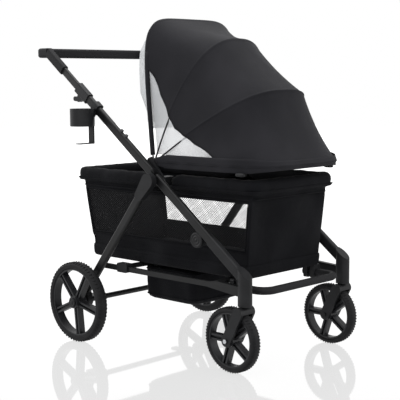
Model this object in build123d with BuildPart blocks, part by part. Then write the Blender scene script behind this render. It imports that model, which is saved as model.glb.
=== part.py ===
from build123d import *
from math import atan2, cos, hypot, pi, radians, sin
import os

os.makedirs("parts", exist_ok=True)

# A folding pet stroller. X points the way it travels, Y to the pusher's left, Z up from the ground.
# Lengths are in millimetres.

SIDES = {"right": -1, "left": 1}

# Overall layout
REAR_AXLE_X = -242.78
WHEELBASE = 664
CASTER_TRAIL = 52
FRAME_Y = 250
REAR_LEG_Y = 280
REAR_WHEEL_Y = 320.5
FRONT_AXLE_X = REAR_AXLE_X + WHEELBASE
CASTER_X = FRONT_AXLE_X + CASTER_TRAIL

# Wheels
REAR_WHEEL_RADIUS = 140
REAR_WHEEL_WIDTH = 40
REAR_HUB_WIDTH = 46
FRONT_WHEEL_RADIUS = 104
FRONT_WHEEL_WIDTH = 38
FRONT_HUB_WIDTH = 44
TYRE_SHARE = 0.165
TYRE_SHOULDER = 9
RIM_THICKNESS = 5
HUB_RADIUS = 21
SPOKE_PAIRS = 5
REAR_FIRST_SPOKE = 60
FRONT_FIRST_SPOKE = 36
SPOKE_RIB = 6
SPOKE_GAP = 14
SPOKE_WEB = 6
SPOKE_DEPTH = 0.62
AXLE_RADIUS = 6
RUNNING_GAP = 0.08
HUB_CAP_RADIUS = 15
HUB_CAP_THICKNESS = 5

# Frame tubes, a flattened section sloping up and back in one line
TUBE_HEIGHT = 31
TUBE_WIDTH = 18
TUBE_CORNER = 7
TUBE_WALL = 1.6
TUBE_SLOPE = 37.1
HANDLE_PIVOT_X = REAR_AXLE_X + 312
HANDLE_PIVOT_Z = 603
HANDLE_FOLD = 108
HINGE_CLEARANCE = 1
LEG_PLUG = 42
PIN_RADIUS = 5
PIN_HEAD = 3.4
PIN_HEAD_RADIUS = 9

# Distances along the frame line from the handle pivot
COLLAR_START = 396
COLLAR_LENGTH = 68
COLLAR_WALL = 3.5
INNER_TUBE_START = 285
GRIP_START = 562
GRIP_BEND = 668
GRIP_SOCKET = 25
LEG_CASTING_START = 328
BOSS_ALONG = 284
STUD_PLACES = (198, 170)

# Telescoping tube, collar and lock lever
INNER_GAP = 0.3
INNER_HEIGHT = TUBE_HEIGHT - 2 * TUBE_WALL - 2 * INNER_GAP
INNER_WIDTH = TUBE_WIDTH - 2 * TUBE_WALL - 2 * INNER_GAP
INNER_CORNER = TUBE_CORNER - TUBE_WALL - INNER_GAP
LEVER_ALONG = 434
LEVER_DROP = 30
LEVER_RADIUS = 8
LEVER_REACH = 20
LEVER_TIP_DROP = 12
LEVER_SWING = 8
LEVER_WIDTH = 9
LEVER_GAP = 0.4
LEVER_PIN = 2.5
CHEEK = 3

# Handle bar
HANDLE_BAR_X = REAR_AXLE_X - 276
GRIP_HEIGHT = 34
GRIP_WIDTH = 26
GRIP_CORNER = 9
HANDLE_BEND_RADIUS = 20
STUD_RADIUS = 6
STUD_HEIGHT = 7

# Caster housing and fork
CASTING_EXTRA = 4
BARREL_LENGTH = 50
BARREL_WIDTH = 38
BARREL_BOTTOM = 216
BARREL_GAP = 0.6
STEM_RADIUS = 8
STEM_LENGTH = 56
CROWN_DEPTH = 36
FORK_LEG_THICKNESS = 9
FORK_LEG_RADIUS = 18
FORK_SIDE_GAP = 4
ARCH_GAP = 6
BOLT_HEAD = 4

# Rear legs
REAR_PIVOT_X = REAR_AXLE_X + 326
REAR_PIVOT_Z = 580
REAR_FOOT_X = REAR_AXLE_X - 17
REAR_FOOT_Z = 152
REAR_PIN = 6
REAR_BUSH = 11
KNUCKLE_RADIUS = 25
KNUCKLE_LENGTH = 66
KNUCKLE_SOCKET = 18
KNUCKLE_WIDTH = 22
KNUCKLE_CAP = 4
BRACKET_RADIUS = 22
AXLE_TUBE_RADIUS = 9.5
BRAKE_Y = 216
BRAKE_WIDTH = 34
BRAKE_RING = 15
BRAKE_REACH = 74
BRAKE_PLATE = 7

# Main joint plate and arm
PLATE_GAP = 0.5
PLATE_THICKNESS = 8
PLATE_ROUND = 18
ARM_LENGTH = 40
ARM_HEIGHT = 30
ARM_WRAP = 4

# Basket
BASKET_BOTTOM_Z = 282
BASKET_BOTTOM_REAR = REAR_AXLE_X - 66
BASKET_BOTTOM_FRONT = REAR_AXLE_X + 662
BASKET_BOTTOM_HALF = 181
BASKET_CORNER = 20
RIM_CORNER = 26
RIM_Z = 575
RIM_REAR = REAR_AXLE_X - 117
RIM_FRONT = REAR_AXLE_X + 696
RIM_HALF = 192
RIM_TUBE_RADIUS = 8
ROLL_HEIGHT = 44
ROLL_WIDTH = 38
ROLL_GAP_REAR = REAR_AXLE_X + 298
ROLL_GAP_FRONT = REAR_AXLE_X + 352
FABRIC = 4
MESH = 1.6
WINDOW_REAR = REAR_AXLE_X - 66
WINDOW_FRONT = REAR_AXLE_X + 656
WINDOW_LOW_Z = 372
WINDOW_HIGH_Z = 524
WINDOW_CORNER = 14
FLOOR_BOARD = 10

# Canopy: each bow leans at an angle above the horizontal and reaches out from the hub pin
HUB_X = REAR_AXLE_X + 290
HUB_Z = 640
HUB_PIN = 4.5
HUB_SEAT = 13
BOW_HALF = 224
BOW_ROD = 2.8
BOW_LAYER = 6.6
BOW_FINE = 3000
BOW_STEPS = 16
EYE_RADIUS = 9
EYE_THICKNESS = 6
EYE_BITE = 3
HUB_CAP_DEPTH = 2
BOWS = {
    "rear": {"angle": 95.3, "reach": 468, "roundness": 0.35, "layer": 0},
    "mid_rear": {"angle": 66.0, "reach": 432, "roundness": 0.80, "layer": 1},
    "mid_front": {"angle": 31.3, "reach": 441, "roundness": 0.72, "layer": 2},
    "front": {"angle": 0.0, "reach": 473, "roundness": 0.39, "layer": 3},
}
COVER = 1.6
COVER_GAP = 1.4
COVER_START = 70
SCREEN_BASE = 110
SCREEN_BULGE = 110
SCREEN_INSET = 6
SCREEN_STEPS = (0, 0.5, 0.8, 0.95)
SCREEN_FULLNESS = 0.25

# Lower frame
RAIL_Z = 267
RAIL_HEIGHT = 17
RAIL_WIDTH = 12
RAIL_REAR = REAR_AXLE_X + 44
RAIL_FRONT = REAR_AXLE_X + 600
GUSSET_BACK = 34
GUSSET_DROP = 22
GUSSET_WIDTH = 16
CLAMP_X = REAR_AXLE_X + 166
CLAMP_LENGTH = 50
CLAMP_HEIGHT = 32
CLAMP_PLATE = 6
CLAMP_RISE = 4
CROSS_Z = 272
CROSS_RADIUS = 9
FRONT_CROSS_X = REAR_AXLE_X + 590
BUMPER_RADIUS = 12.5
BUMPER_X = REAR_AXLE_X + 743
BUMPER_Z = 255
BUMPER_HALF = 186
BUMPER_BEND = 42
BUMPER_CLAMP_PLACES = (REAR_AXLE_X + 612, REAR_AXLE_X + 640)
BUMPER_CLAMP_LENGTH = 16
BOSS_RADIUS = 25
BOSS_WIDTH = 14
BOSS_BITE = 3

# Bag under the floor
BAG_REAR = REAR_AXLE_X + 152
BAG_FRONT = REAR_AXLE_X + 388
BAG_HALF = 142
BAG_BOTTOM = 150
BAG_TOP = 262
BAG_CORNER = 20
BAG_FILLET = 16

# Cup holder
CUP_X = REAR_AXLE_X + 27
CUP_RADIUS = 42
CUP_WALL = 3
CUP_TOP = 811
CUP_HEIGHT = 60
CUP_PLATE_Z = 690
CUP_PLATE_REACH = 66
CUP_STEM_WIDTH = 26
CUP_STEM_THICKNESS = 5
CUP_STEM_GAP = 0.5
CUP_PIN = 4
CUP_PIN_X = REAR_AXLE_X + 30
CUP_PIN_Z = 790
CUP_BOSS = 11
CLIP_ALONG = 345
CLIP_LENGTH = 26
CLIP_WALL = 5


def tube_point(along, drop=0):
    """A point on the frame line at a distance towards the handle, dropped square to the line."""
    slope = radians(TUBE_SLOPE)
    x = HANDLE_PIVOT_X - along * cos(slope) - drop * sin(slope)
    z = HANDLE_PIVOT_Z + along * sin(slope) - drop * cos(slope)
    return x, z


def tube_plane(along, side):
    """Cross-section plane of the frame tube, facing the handle; its local y is the tube's height."""
    x, z = tube_point(along)
    slope = radians(TUBE_SLOPE)
    return Plane(origin=(x, side * FRAME_Y, z), x_dir=(0, 1, 0), z_dir=(-cos(slope), 0, sin(slope)))


def side_plane(y):
    """Upright plane along the stroller: local x forward, local y up, normal to the right."""
    return Plane(origin=(0, y, 0), x_dir=(1, 0, 0), z_dir=(0, -1, 0))


def cross_pin(centre, start_y, end_y, radius, mode=Mode.ADD):
    """A round bar across the stroller, added to or cut from the part being built."""
    with BuildSketch(side_plane(start_y)) as disc:
        with Locations(centre):
            Circle(radius)
    extrude(disc.sketch, amount=start_y - end_y, mode=mode)


def save(part, name):
    part.label = name
    export_step(part, "parts/" + name + ".step")


# Upper frame tubes: each turns on the handle pivot and takes the telescoping handle tube
def make_upper_tube(side):
    inner_y = side * (FRAME_Y - TUBE_WIDTH / 2)
    outer_y = side * (FRAME_Y + TUBE_WIDTH / 2)
    pivot = (HANDLE_PIVOT_X, HANDLE_PIVOT_Z)
    with BuildPart() as tube:
        with BuildSketch(tube_plane(0, side)):
            RectangleRounded(TUBE_WIDTH, TUBE_HEIGHT, TUBE_CORNER)
        extrude(amount=COLLAR_START + COLLAR_LENGTH / 2)
        with BuildSketch(tube_plane(TUBE_HEIGHT, side)):
            RectangleRounded(TUBE_WIDTH - 2 * TUBE_WALL, TUBE_HEIGHT - 2 * TUBE_WALL, TUBE_CORNER - TUBE_WALL)
        extrude(amount=COLLAR_START + COLLAR_LENGTH, mode=Mode.SUBTRACT)
        cross_pin(pivot, inner_y, outer_y, TUBE_HEIGHT / 2)
        cross_pin(pivot, 0, 2 * outer_y, PIN_RADIUS + RUNNING_GAP, Mode.SUBTRACT)
    return tube.part


# Lock lever under each collar, squeezed to let the handle slide
def make_lock_lever(side):
    pivot = tube_point(LEVER_ALONG, LEVER_DROP)
    tip = tube_point(LEVER_ALONG + LEVER_REACH, LEVER_DROP + LEVER_TIP_DROP)
    with BuildPart() as lever:
        with BuildSketch(side_plane(side * FRAME_Y)):
            with Locations(pivot, tip):
                Circle(LEVER_RADIUS)
            make_hull()
            with Locations(pivot):
                Circle(LEVER_PIN + RUNNING_GAP, mode=Mode.SUBTRACT)
        extrude(amount=LEVER_WIDTH / 2, both=True)
    return lever.part


# Height-lock collar at the top of each upper tube, with two cheeks for the lock lever
def make_collar(side):
    pivot = tube_point(LEVER_ALONG, LEVER_DROP)
    half_fork = LEVER_WIDTH / 2 + LEVER_GAP
    with BuildPart() as collar:
        with BuildSketch(tube_plane(COLLAR_START, side)):
            RectangleRounded(TUBE_WIDTH + 2 * COLLAR_WALL, TUBE_HEIGHT + 2 * COLLAR_WALL, TUBE_CORNER)
        extrude(amount=COLLAR_LENGTH)
        with BuildSketch(side_plane(side * FRAME_Y)):
            with Locations(pivot, tube_point(LEVER_ALONG - LEVER_REACH), tube_point(LEVER_ALONG + LEVER_RADIUS)):
                Circle(LEVER_RADIUS + 1)
            make_hull()
        extrude(amount=half_fork + CHEEK, both=True)
        with BuildSketch(side_plane(side * FRAME_Y)):
            with Locations(pivot, tube_point(LEVER_ALONG + LEVER_REACH, LEVER_DROP + LEVER_TIP_DROP),
                           tube_point(LEVER_ALONG + LEVER_REACH, LEVER_DROP + LEVER_TIP_DROP - LEVER_SWING)):
                Circle(LEVER_RADIUS + LEVER_GAP)
            make_hull()
        extrude(amount=half_fork, both=True, mode=Mode.SUBTRACT)
        with BuildSketch(tube_plane(COLLAR_START, side)):
            RectangleRounded(TUBE_WIDTH, TUBE_HEIGHT, TUBE_CORNER)
        extrude(amount=COLLAR_LENGTH / 2, mode=Mode.SUBTRACT)
        with BuildSketch(tube_plane(COLLAR_START, side)):
            RectangleRounded(INNER_WIDTH + 2 * INNER_GAP, INNER_HEIGHT + 2 * INNER_GAP, INNER_CORNER + INNER_GAP)
        extrude(amount=COLLAR_LENGTH, mode=Mode.SUBTRACT)
        cross_pin(pivot, side * FRAME_Y - half_fork - CHEEK, side * FRAME_Y + half_fork + CHEEK, LEVER_PIN)
    return collar.part


# Telescoping tubes that carry the handle bar
def make_inner_tube(side):
    length = GRIP_START + GRIP_SOCKET - INNER_TUBE_START
    with BuildPart() as tube:
        with BuildSketch(tube_plane(INNER_TUBE_START, side)):
            RectangleRounded(INNER_WIDTH, INNER_HEIGHT, INNER_CORNER)
            RectangleRounded(INNER_WIDTH - 2 * TUBE_WALL, INNER_HEIGHT - 2 * TUBE_WALL,
                             INNER_CORNER - TUBE_WALL, mode=Mode.SUBTRACT)
        extrude(amount=length)
    return tube.part


# Handle bar: one U-shaped tube in a soft sleeve, its arms bent down onto the telescoping tubes
def make_handle_bar():
    bend_x, bend_z = tube_point(GRIP_BEND)
    with BuildPart() as bar:
        with BuildLine() as across:
            FilletPolyline((bend_x, -FRAME_Y, bend_z), (HANDLE_BAR_X, -FRAME_Y, bend_z),
                           (HANDLE_BAR_X, FRAME_Y, bend_z), (bend_x, FRAME_Y, bend_z),
                           radius=HANDLE_BEND_RADIUS)
        with BuildSketch(Plane(origin=(bend_x, -FRAME_Y, bend_z), x_dir=(0, 1, 0), z_dir=(-1, 0, 0))):
            RectangleRounded(GRIP_WIDTH, GRIP_HEIGHT, GRIP_CORNER)
        sweep(path=across.wires()[0])
        for side in SIDES.values():
            with BuildSketch(tube_plane(GRIP_START, side)):
                RectangleRounded(GRIP_WIDTH, GRIP_HEIGHT, GRIP_CORNER)
            extrude(amount=GRIP_BEND - GRIP_START)
            cross_pin((bend_x, bend_z), side * FRAME_Y - GRIP_WIDTH / 2 + GRIP_CORNER / 2,
                      side * FRAME_Y + GRIP_WIDTH / 2 - GRIP_CORNER / 2, GRIP_HEIGHT / 2)
            with BuildSketch(tube_plane(GRIP_START, side)):
                RectangleRounded(INNER_WIDTH, INNER_HEIGHT, INNER_CORNER)
            extrude(amount=GRIP_SOCKET, mode=Mode.SUBTRACT)
    return bar.part


# Two snap studs on top of each upper tube
def make_tube_studs():
    slope = radians(TUBE_SLOPE)
    with BuildPart() as studs:
        for side in SIDES.values():
            for along in STUD_PLACES:
                x, z = tube_point(along, -TUBE_HEIGHT / 2)
                with BuildSketch(Plane(origin=(x, side * FRAME_Y, z), z_dir=(sin(slope), 0, cos(slope)))):
                    Circle(STUD_RADIUS)
                extrude(amount=STUD_HEIGHT)
    return studs.part


# Clip on the right upper tube that the cup holder hangs from
def make_cup_clip():
    outer_y = -FRAME_Y - TUBE_WIDTH / 2
    with BuildPart() as clip:
        with BuildSketch(tube_plane(CLIP_ALONG - CLIP_LENGTH / 2, -1)):
            RectangleRounded(TUBE_WIDTH + 2 * CLIP_WALL, TUBE_HEIGHT + 2 * CLIP_WALL, TUBE_CORNER)
        extrude(amount=CLIP_LENGTH)
        with BuildSketch(side_plane(outer_y)):
            with Locations((CUP_PIN_X, CUP_PIN_Z), tube_point(CLIP_ALONG)):
                Circle(CUP_BOSS)
            make_hull()
        extrude(amount=CLIP_WALL)
        with BuildSketch(tube_plane(CLIP_ALONG - CLIP_LENGTH, -1)):
            RectangleRounded(TUBE_WIDTH, TUBE_HEIGHT, TUBE_CORNER)
        extrude(amount=2 * CLIP_LENGTH, mode=Mode.SUBTRACT)
        cross_pin((CUP_PIN_X, CUP_PIN_Z), outer_y, outer_y - CLIP_WALL - CUP_STEM_GAP - CUP_STEM_THICKNESS + 1,
                  CUP_PIN)
    return clip.part


# Cup holder: an open ring on a flat stem, with a small plate that the cup stands on
def make_cup_holder():
    stem_y = -FRAME_Y - TUBE_WIDTH / 2 - CLIP_WALL - CUP_STEM_GAP
    with BuildPart() as holder:
        with BuildSketch(Plane.XY.offset(CUP_TOP - CUP_HEIGHT)):
            with Locations((CUP_X, stem_y - CUP_RADIUS)):
                Circle(CUP_RADIUS)
        extrude(amount=CUP_HEIGHT)
        with BuildSketch(side_plane(stem_y)):
            with Locations((CUP_X, (CUP_TOP + CUP_PLATE_Z) / 2)):
                Rectangle(CUP_STEM_WIDTH, CUP_TOP - CUP_PLATE_Z)
        extrude(amount=CUP_STEM_THICKNESS)
        with BuildSketch(Plane.XY.offset(CUP_TOP - CUP_HEIGHT)):
            with Locations((CUP_X, stem_y - CUP_RADIUS - CUP_STEM_THICKNESS + CUP_WALL)):
                Circle(CUP_RADIUS - CUP_WALL)
        extrude(amount=CUP_HEIGHT, mode=Mode.SUBTRACT)
        with BuildSketch(Plane.XY.offset(CUP_PLATE_Z)):
            with Locations((CUP_X, stem_y - CUP_PLATE_REACH / 2)):
                RectangleRounded(CUP_STEM_WIDTH, CUP_PLATE_REACH, CUP_STEM_WIDTH / 5)
        extrude(amount=CUP_WALL)
        cross_pin((CUP_PIN_X, CUP_PIN_Z), stem_y + 1, stem_y - CUP_STEM_THICKNESS + 0.5,
                  CUP_PIN + RUNNING_GAP, Mode.SUBTRACT)
    return holder.part


# Front leg tubes, in line with the upper tubes, their top ends cut away to let the handle fold forward
def make_front_leg(side):
    top = TUBE_HEIGHT / 2 + HINGE_CLEARANCE
    with BuildPart() as leg:
        with BuildSketch(tube_plane(-top, side)):
            RectangleRounded(TUBE_WIDTH, TUBE_HEIGHT, TUBE_CORNER)
        extrude(amount=top - LEG_CASTING_START)
        with BuildSketch(tube_plane(-LEG_PLUG - PLATE_ROUND, side)):
            RectangleRounded(TUBE_WIDTH - 2 * TUBE_WALL, TUBE_HEIGHT - 2 * TUBE_WALL, TUBE_CORNER - TUBE_WALL)
        extrude(amount=-LEG_CASTING_START, mode=Mode.SUBTRACT)
        with BuildSketch(side_plane(side * FRAME_Y)):
            with Locations((HANDLE_PIVOT_X, HANDLE_PIVOT_Z)):
                Circle(top)
                with Locations(Location((0, 0), 180 - TUBE_SLOPE - HANDLE_FOLD)):
                    Rectangle(2 * LEG_PLUG, 2 * top, align=(Align.MIN, Align.CENTER))
        extrude(amount=TUBE_WIDTH, both=True, mode=Mode.SUBTRACT)
        cross_pin((REAR_PIVOT_X, REAR_PIVOT_Z), 0, side * 2 * FRAME_Y, REAR_PIN, Mode.SUBTRACT)
    return leg.part


# Main joint: the plate inside each frame tube with the handle pin, the rear leg pin and the canopy pin,
# and the arm that holds the basket rim
def make_main_joint(side):
    face_y = side * (FRAME_Y - TUBE_WIDTH / 2 - PLATE_GAP)
    back_y = face_y - side * PLATE_THICKNESS
    tube_outer_y = side * (FRAME_Y + TUBE_WIDTH / 2 + PLATE_GAP)
    knuckle_y = side * (REAR_LEG_Y - KNUCKLE_WIDTH / 2)
    handle_pivot = (HANDLE_PIVOT_X, HANDLE_PIVOT_Z)
    rear_pivot = (REAR_PIVOT_X, REAR_PIVOT_Z)
    hub_end_y = side * (BOW_HALF - len(BOWS) * BOW_LAYER + BOW_LAYER / 2)
    with BuildPart() as joint:
        with BuildSketch(side_plane(face_y)):
            with Locations(handle_pivot, rear_pivot):
                Circle(PLATE_ROUND)
            with Locations(tube_point(-LEG_PLUG), (HUB_X, HUB_Z)):
                Circle(HUB_SEAT)
            make_hull()
        extrude(amount=side * PLATE_THICKNESS)
        with BuildSketch(side_plane(back_y)):
            with Locations(((ROLL_GAP_REAR + ROLL_GAP_FRONT) / 2, RIM_Z)):
                RectangleRounded(ARM_LENGTH, ARM_HEIGHT, ARM_HEIGHT / 4)
        extrude(amount=back_y - side * (RIM_HALF - RIM_TUBE_RADIUS - ARM_WRAP))
        with BuildSketch(Plane.YZ.offset(ROLL_GAP_REAR)):
            with Locations((side * RIM_HALF, RIM_Z)):
                Circle(RIM_TUBE_RADIUS)
        extrude(amount=ROLL_GAP_FRONT - ROLL_GAP_REAR, mode=Mode.SUBTRACT)
        cross_pin(handle_pivot, back_y, tube_outer_y, PIN_RADIUS)
        cross_pin(handle_pivot, tube_outer_y, tube_outer_y + side * PIN_HEAD, PIN_HEAD_RADIUS)
        cross_pin(rear_pivot, back_y, knuckle_y + side * (KNUCKLE_WIDTH - KNUCKLE_CAP), REAR_PIN)
        cross_pin(rear_pivot, side * (FRAME_Y + TUBE_WIDTH / 2), knuckle_y - side * PLATE_GAP, REAR_BUSH)
        cross_pin((HUB_X, HUB_Z), face_y, hub_end_y, HUB_PIN)
        cross_pin((HUB_X, HUB_Z), hub_end_y, hub_end_y - side * HUB_CAP_DEPTH, EYE_RADIUS)
    return joint.part


# Casting at the foot of each front leg, with the upright barrel the caster fork turns in
def casting_space(side):
    """The caster housing without its bore, also used to trim what meets it."""
    slope = radians(TUBE_SLOPE)
    seat_along = -(CASTER_X - HANDLE_PIVOT_X) / cos(slope)
    lid_x, lid_z = tube_point(seat_along, -(TUBE_HEIGHT + CASTING_EXTRA) / 2)
    with BuildPart() as space:
        with BuildSketch(tube_plane(-LEG_CASTING_START, side)):
            RectangleRounded(TUBE_WIDTH + CASTING_EXTRA, TUBE_HEIGHT + CASTING_EXTRA, TUBE_CORNER)
        extrude(amount=seat_along + LEG_CASTING_START)
        with BuildSketch(Plane.XY.offset(BARREL_BOTTOM)):
            with Locations((CASTER_X, side * FRAME_Y)):
                Ellipse(BARREL_LENGTH / 2, BARREL_WIDTH / 2)
        extrude(amount=3 * BARREL_LENGTH)
        with BuildSketch(Plane(origin=(lid_x, side * FRAME_Y, lid_z), x_dir=(0, 1, 0),
                               z_dir=(sin(slope), 0, cos(slope)))):
            Rectangle(3 * BARREL_WIDTH, 3 * BARREL_LENGTH)
        extrude(amount=3 * BARREL_LENGTH, mode=Mode.SUBTRACT)
    return space.part


def make_caster_housing(side):
    with BuildPart() as housing:
        add(casting_space(side))
        with BuildSketch(Plane.XY.offset(BARREL_BOTTOM)):
            with Locations((CASTER_X, side * FRAME_Y)):
                Circle(STEM_RADIUS + RUNNING_GAP)
        extrude(amount=STEM_LENGTH + 1, mode=Mode.SUBTRACT)
    return housing.part


# Caster fork: stem, arched crown, two legs and the wheel's bolt
def make_fork(side):
    crown_top = BARREL_BOTTOM - BARREL_GAP
    fork_y = side * FRAME_Y
    inner = FRONT_WHEEL_WIDTH / 2 + FORK_SIDE_GAP
    outer = inner + FORK_LEG_THICKNESS
    axle = (FRONT_AXLE_X, FRONT_WHEEL_RADIUS)
    with BuildPart() as fork:
        with BuildSketch(Plane.XY.offset(crown_top - CROWN_DEPTH)):
            with Locations((CASTER_X, fork_y)):
                Ellipse(BARREL_LENGTH / 2, outer)
        extrude(amount=CROWN_DEPTH)
        with BuildSketch(side_plane(fork_y)):
            with Locations(axle, (CASTER_X - FORK_LEG_RADIUS / 4, crown_top - FORK_LEG_RADIUS)):
                Circle(FORK_LEG_RADIUS)
            make_hull()
        extrude(amount=outer, both=True)
        with BuildSketch(side_plane(fork_y)):
            with Locations(axle):
                Circle(FRONT_WHEEL_RADIUS + ARCH_GAP)
        extrude(amount=inner, both=True, mode=Mode.SUBTRACT)
        cross_pin(axle, fork_y - outer, fork_y + outer, AXLE_RADIUS)
        cross_pin(axle, fork_y - outer - BOLT_HEAD, fork_y - outer, AXLE_RADIUS + 1)
        cross_pin(axle, fork_y + outer, fork_y + outer + BOLT_HEAD, AXLE_RADIUS + 1)
        with BuildSketch(Plane.XY.offset(crown_top)):
            with Locations((CASTER_X, fork_y)):
                Circle(STEM_RADIUS)
        extrude(amount=STEM_LENGTH)
    return fork.part


# Wheels: a moulded rim with paired spokes, and a soft tyre round it
def make_wheel_rim(x, y, radius, width, hub_width, first_spoke):
    rim_outer = radius * (1 - TYRE_SHARE)
    rim_inner = rim_outer - RIM_THICKNESS
    spoke_length = rim_inner + RIM_THICKNESS / 2
    with BuildPart() as rim:
        with BuildSketch(side_plane(y)):
            with Locations((x, radius)):
                Circle(rim_outer)
                Circle(rim_inner, mode=Mode.SUBTRACT)
        extrude(amount=(width - TYRE_SHOULDER) / 2, both=True)
        with BuildSketch(side_plane(y)):
            with Locations((x, radius)):
                with PolarLocations(0, SPOKE_PAIRS, start_angle=first_spoke):
                    Rectangle(spoke_length, SPOKE_GAP + SPOKE_RIB, align=(Align.MIN, Align.CENTER))
        extrude(amount=SPOKE_WEB / 2, both=True)
        with BuildSketch(side_plane(y)):
            with Locations((x, radius)):
                with PolarLocations(0, SPOKE_PAIRS, start_angle=first_spoke):
                    with Locations((0, SPOKE_GAP / 2), (0, -SPOKE_GAP / 2)):
                        Rectangle(spoke_length, SPOKE_RIB, align=(Align.MIN, Align.CENTER))
        extrude(amount=width * SPOKE_DEPTH / 2, both=True)
        cross_pin((x, radius), y - hub_width / 2, y + hub_width / 2, HUB_RADIUS)
        cross_pin((x, radius), y - hub_width, y + hub_width, AXLE_RADIUS + RUNNING_GAP, Mode.SUBTRACT)
    return rim.part


def make_tyre(x, y, radius, width):
    seat = radius * (1 - TYRE_SHARE)
    half = width / 2
    foot = half - TYRE_SHOULDER / 2
    shoulder = radius - TYRE_SHOULDER
    with BuildPart() as tyre:
        with BuildSketch(Plane(origin=(x, y, radius), x_dir=(0, 1, 0), z_dir=(-1, 0, 0))):
            with BuildLine():
                Polyline((foot, seat), (-foot, seat), (-half, seat + 3), (-half, shoulder))
                ThreePointArc((-half, shoulder), (0, radius), (half, shoulder))
                Polyline((half, shoulder), (half, seat + 3), (foot, seat))
            make_face()
        revolve(axis=Axis((x, y, radius), (0, 1, 0)), revolution_arc=360)
    return tyre.part


# Rear legs, their top knuckles and the cast brackets at the axle
def rear_leg_length():
    return hypot(REAR_PIVOT_X - REAR_FOOT_X, REAR_PIVOT_Z - REAR_FOOT_Z)


def rear_leg_plane(along, side):
    """Cross-section plane of the rear leg at a distance below its pivot, facing down the leg."""
    fall = atan2(REAR_PIVOT_Z - REAR_FOOT_Z, REAR_PIVOT_X - REAR_FOOT_X)
    origin = (REAR_PIVOT_X - along * cos(fall), side * REAR_LEG_Y, REAR_PIVOT_Z - along * sin(fall))
    return Plane(origin=origin, x_dir=(0, 1, 0), z_dir=(-cos(fall), 0, -sin(fall)))


def make_rear_leg(side):
    start = KNUCKLE_LENGTH - KNUCKLE_SOCKET
    with BuildPart() as leg:
        with BuildSketch(rear_leg_plane(start, side)):
            RectangleRounded(TUBE_WIDTH, TUBE_HEIGHT, TUBE_CORNER)
            RectangleRounded(TUBE_WIDTH - 2 * TUBE_WALL, TUBE_HEIGHT - 2 * TUBE_WALL,
                             TUBE_CORNER - TUBE_WALL, mode=Mode.SUBTRACT)
        extrude(amount=rear_leg_length() - start)
    return leg.part


def leg_end_trim(start, length, side):
    with BuildPart() as trim:
        with BuildSketch(rear_leg_plane(start, side)):
            RectangleRounded(TUBE_WIDTH, TUBE_HEIGHT, TUBE_CORNER)
        extrude(amount=length)
    return trim.part


def make_rear_knuckle(side):
    neck = rear_leg_plane(KNUCKLE_LENGTH, side).origin
    inner_y = side * (REAR_LEG_Y - KNUCKLE_WIDTH / 2)
    with BuildPart() as knuckle:
        with BuildSketch(side_plane(side * REAR_LEG_Y)):
            with Locations((REAR_PIVOT_X, REAR_PIVOT_Z)):
                Circle(KNUCKLE_RADIUS)
            with Locations((neck.X, neck.Z)):
                Circle(TUBE_HEIGHT / 2 + 2)
            make_hull()
        extrude(amount=KNUCKLE_WIDTH / 2, both=True)
        add(leg_end_trim(KNUCKLE_LENGTH - KNUCKLE_SOCKET, KNUCKLE_LENGTH, side), mode=Mode.SUBTRACT)
        cross_pin((REAR_PIVOT_X, REAR_PIVOT_Z), inner_y - side, inner_y + side * (KNUCKLE_WIDTH - KNUCKLE_CAP + 0.5),
                  REAR_PIN + RUNNING_GAP, Mode.SUBTRACT)
    return knuckle.part


def make_axle_bracket(side):
    foot = rear_leg_plane(rear_leg_length() - KNUCKLE_SOCKET, side).origin
    with BuildPart() as bracket:
        with BuildSketch(side_plane(side * REAR_LEG_Y)):
            with Locations((REAR_AXLE_X, REAR_WHEEL_RADIUS)):
                Circle(BRACKET_RADIUS)
            with Locations((foot.X, foot.Z)):
                Circle(TUBE_HEIGHT / 2 + 3)
            make_hull()
        extrude(amount=KNUCKLE_WIDTH / 2, both=True)
        add(leg_end_trim(rear_leg_length() - KNUCKLE_LENGTH, KNUCKLE_LENGTH, side), mode=Mode.SUBTRACT)
        cross_pin((REAR_AXLE_X, REAR_WHEEL_RADIUS), 0, side * 2 * REAR_LEG_Y, AXLE_RADIUS, Mode.SUBTRACT)
    return bracket.part


# Rear axle: a tube between the brackets on a rod that carries both wheels and their end caps
def make_rear_axle():
    tube_half = REAR_LEG_Y - KNUCKLE_WIDTH / 2
    rod_half = REAR_WHEEL_Y + REAR_HUB_WIDTH / 2 + PLATE_GAP
    axle_centre = (REAR_AXLE_X, REAR_WHEEL_RADIUS)
    with BuildPart() as axle:
        cross_pin(axle_centre, -tube_half, tube_half, AXLE_TUBE_RADIUS)
        cross_pin(axle_centre, -rod_half, rod_half, AXLE_RADIUS)
        for side in SIDES.values():
            cross_pin(axle_centre, side * rod_half, side * (rod_half + HUB_CAP_THICKNESS), HUB_CAP_RADIUS)
        for side in SIDES.values():
            add(leg_end_trim(rear_leg_length() - KNUCKLE_LENGTH, KNUCKLE_LENGTH, side), mode=Mode.SUBTRACT)
    return axle.part


# Foot brake levers, one beside each rear wheel, turning on the axle tube
def make_brake_pedal(side):
    axle_centre = (REAR_AXLE_X, REAR_WHEEL_RADIUS)
    inner_y = side * (BRAKE_Y - BRAKE_WIDTH / 2)
    outer_y = side * (BRAKE_Y + BRAKE_WIDTH / 2)
    with BuildPart() as pedal:
        cross_pin(axle_centre, inner_y, outer_y, BRAKE_RING)
        with BuildSketch(Plane.XY.offset(REAR_WHEEL_RADIUS - BRAKE_PLATE / 2)):
            with Locations((REAR_AXLE_X - BRAKE_REACH / 2, side * BRAKE_Y)):
                RectangleRounded(BRAKE_REACH, BRAKE_WIDTH, BRAKE_WIDTH / 4)
        extrude(amount=BRAKE_PLATE)
        cross_pin(axle_centre, 0, 2 * outer_y, AXLE_TUBE_RADIUS + RUNNING_GAP, Mode.SUBTRACT)
    return pedal.part


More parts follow.
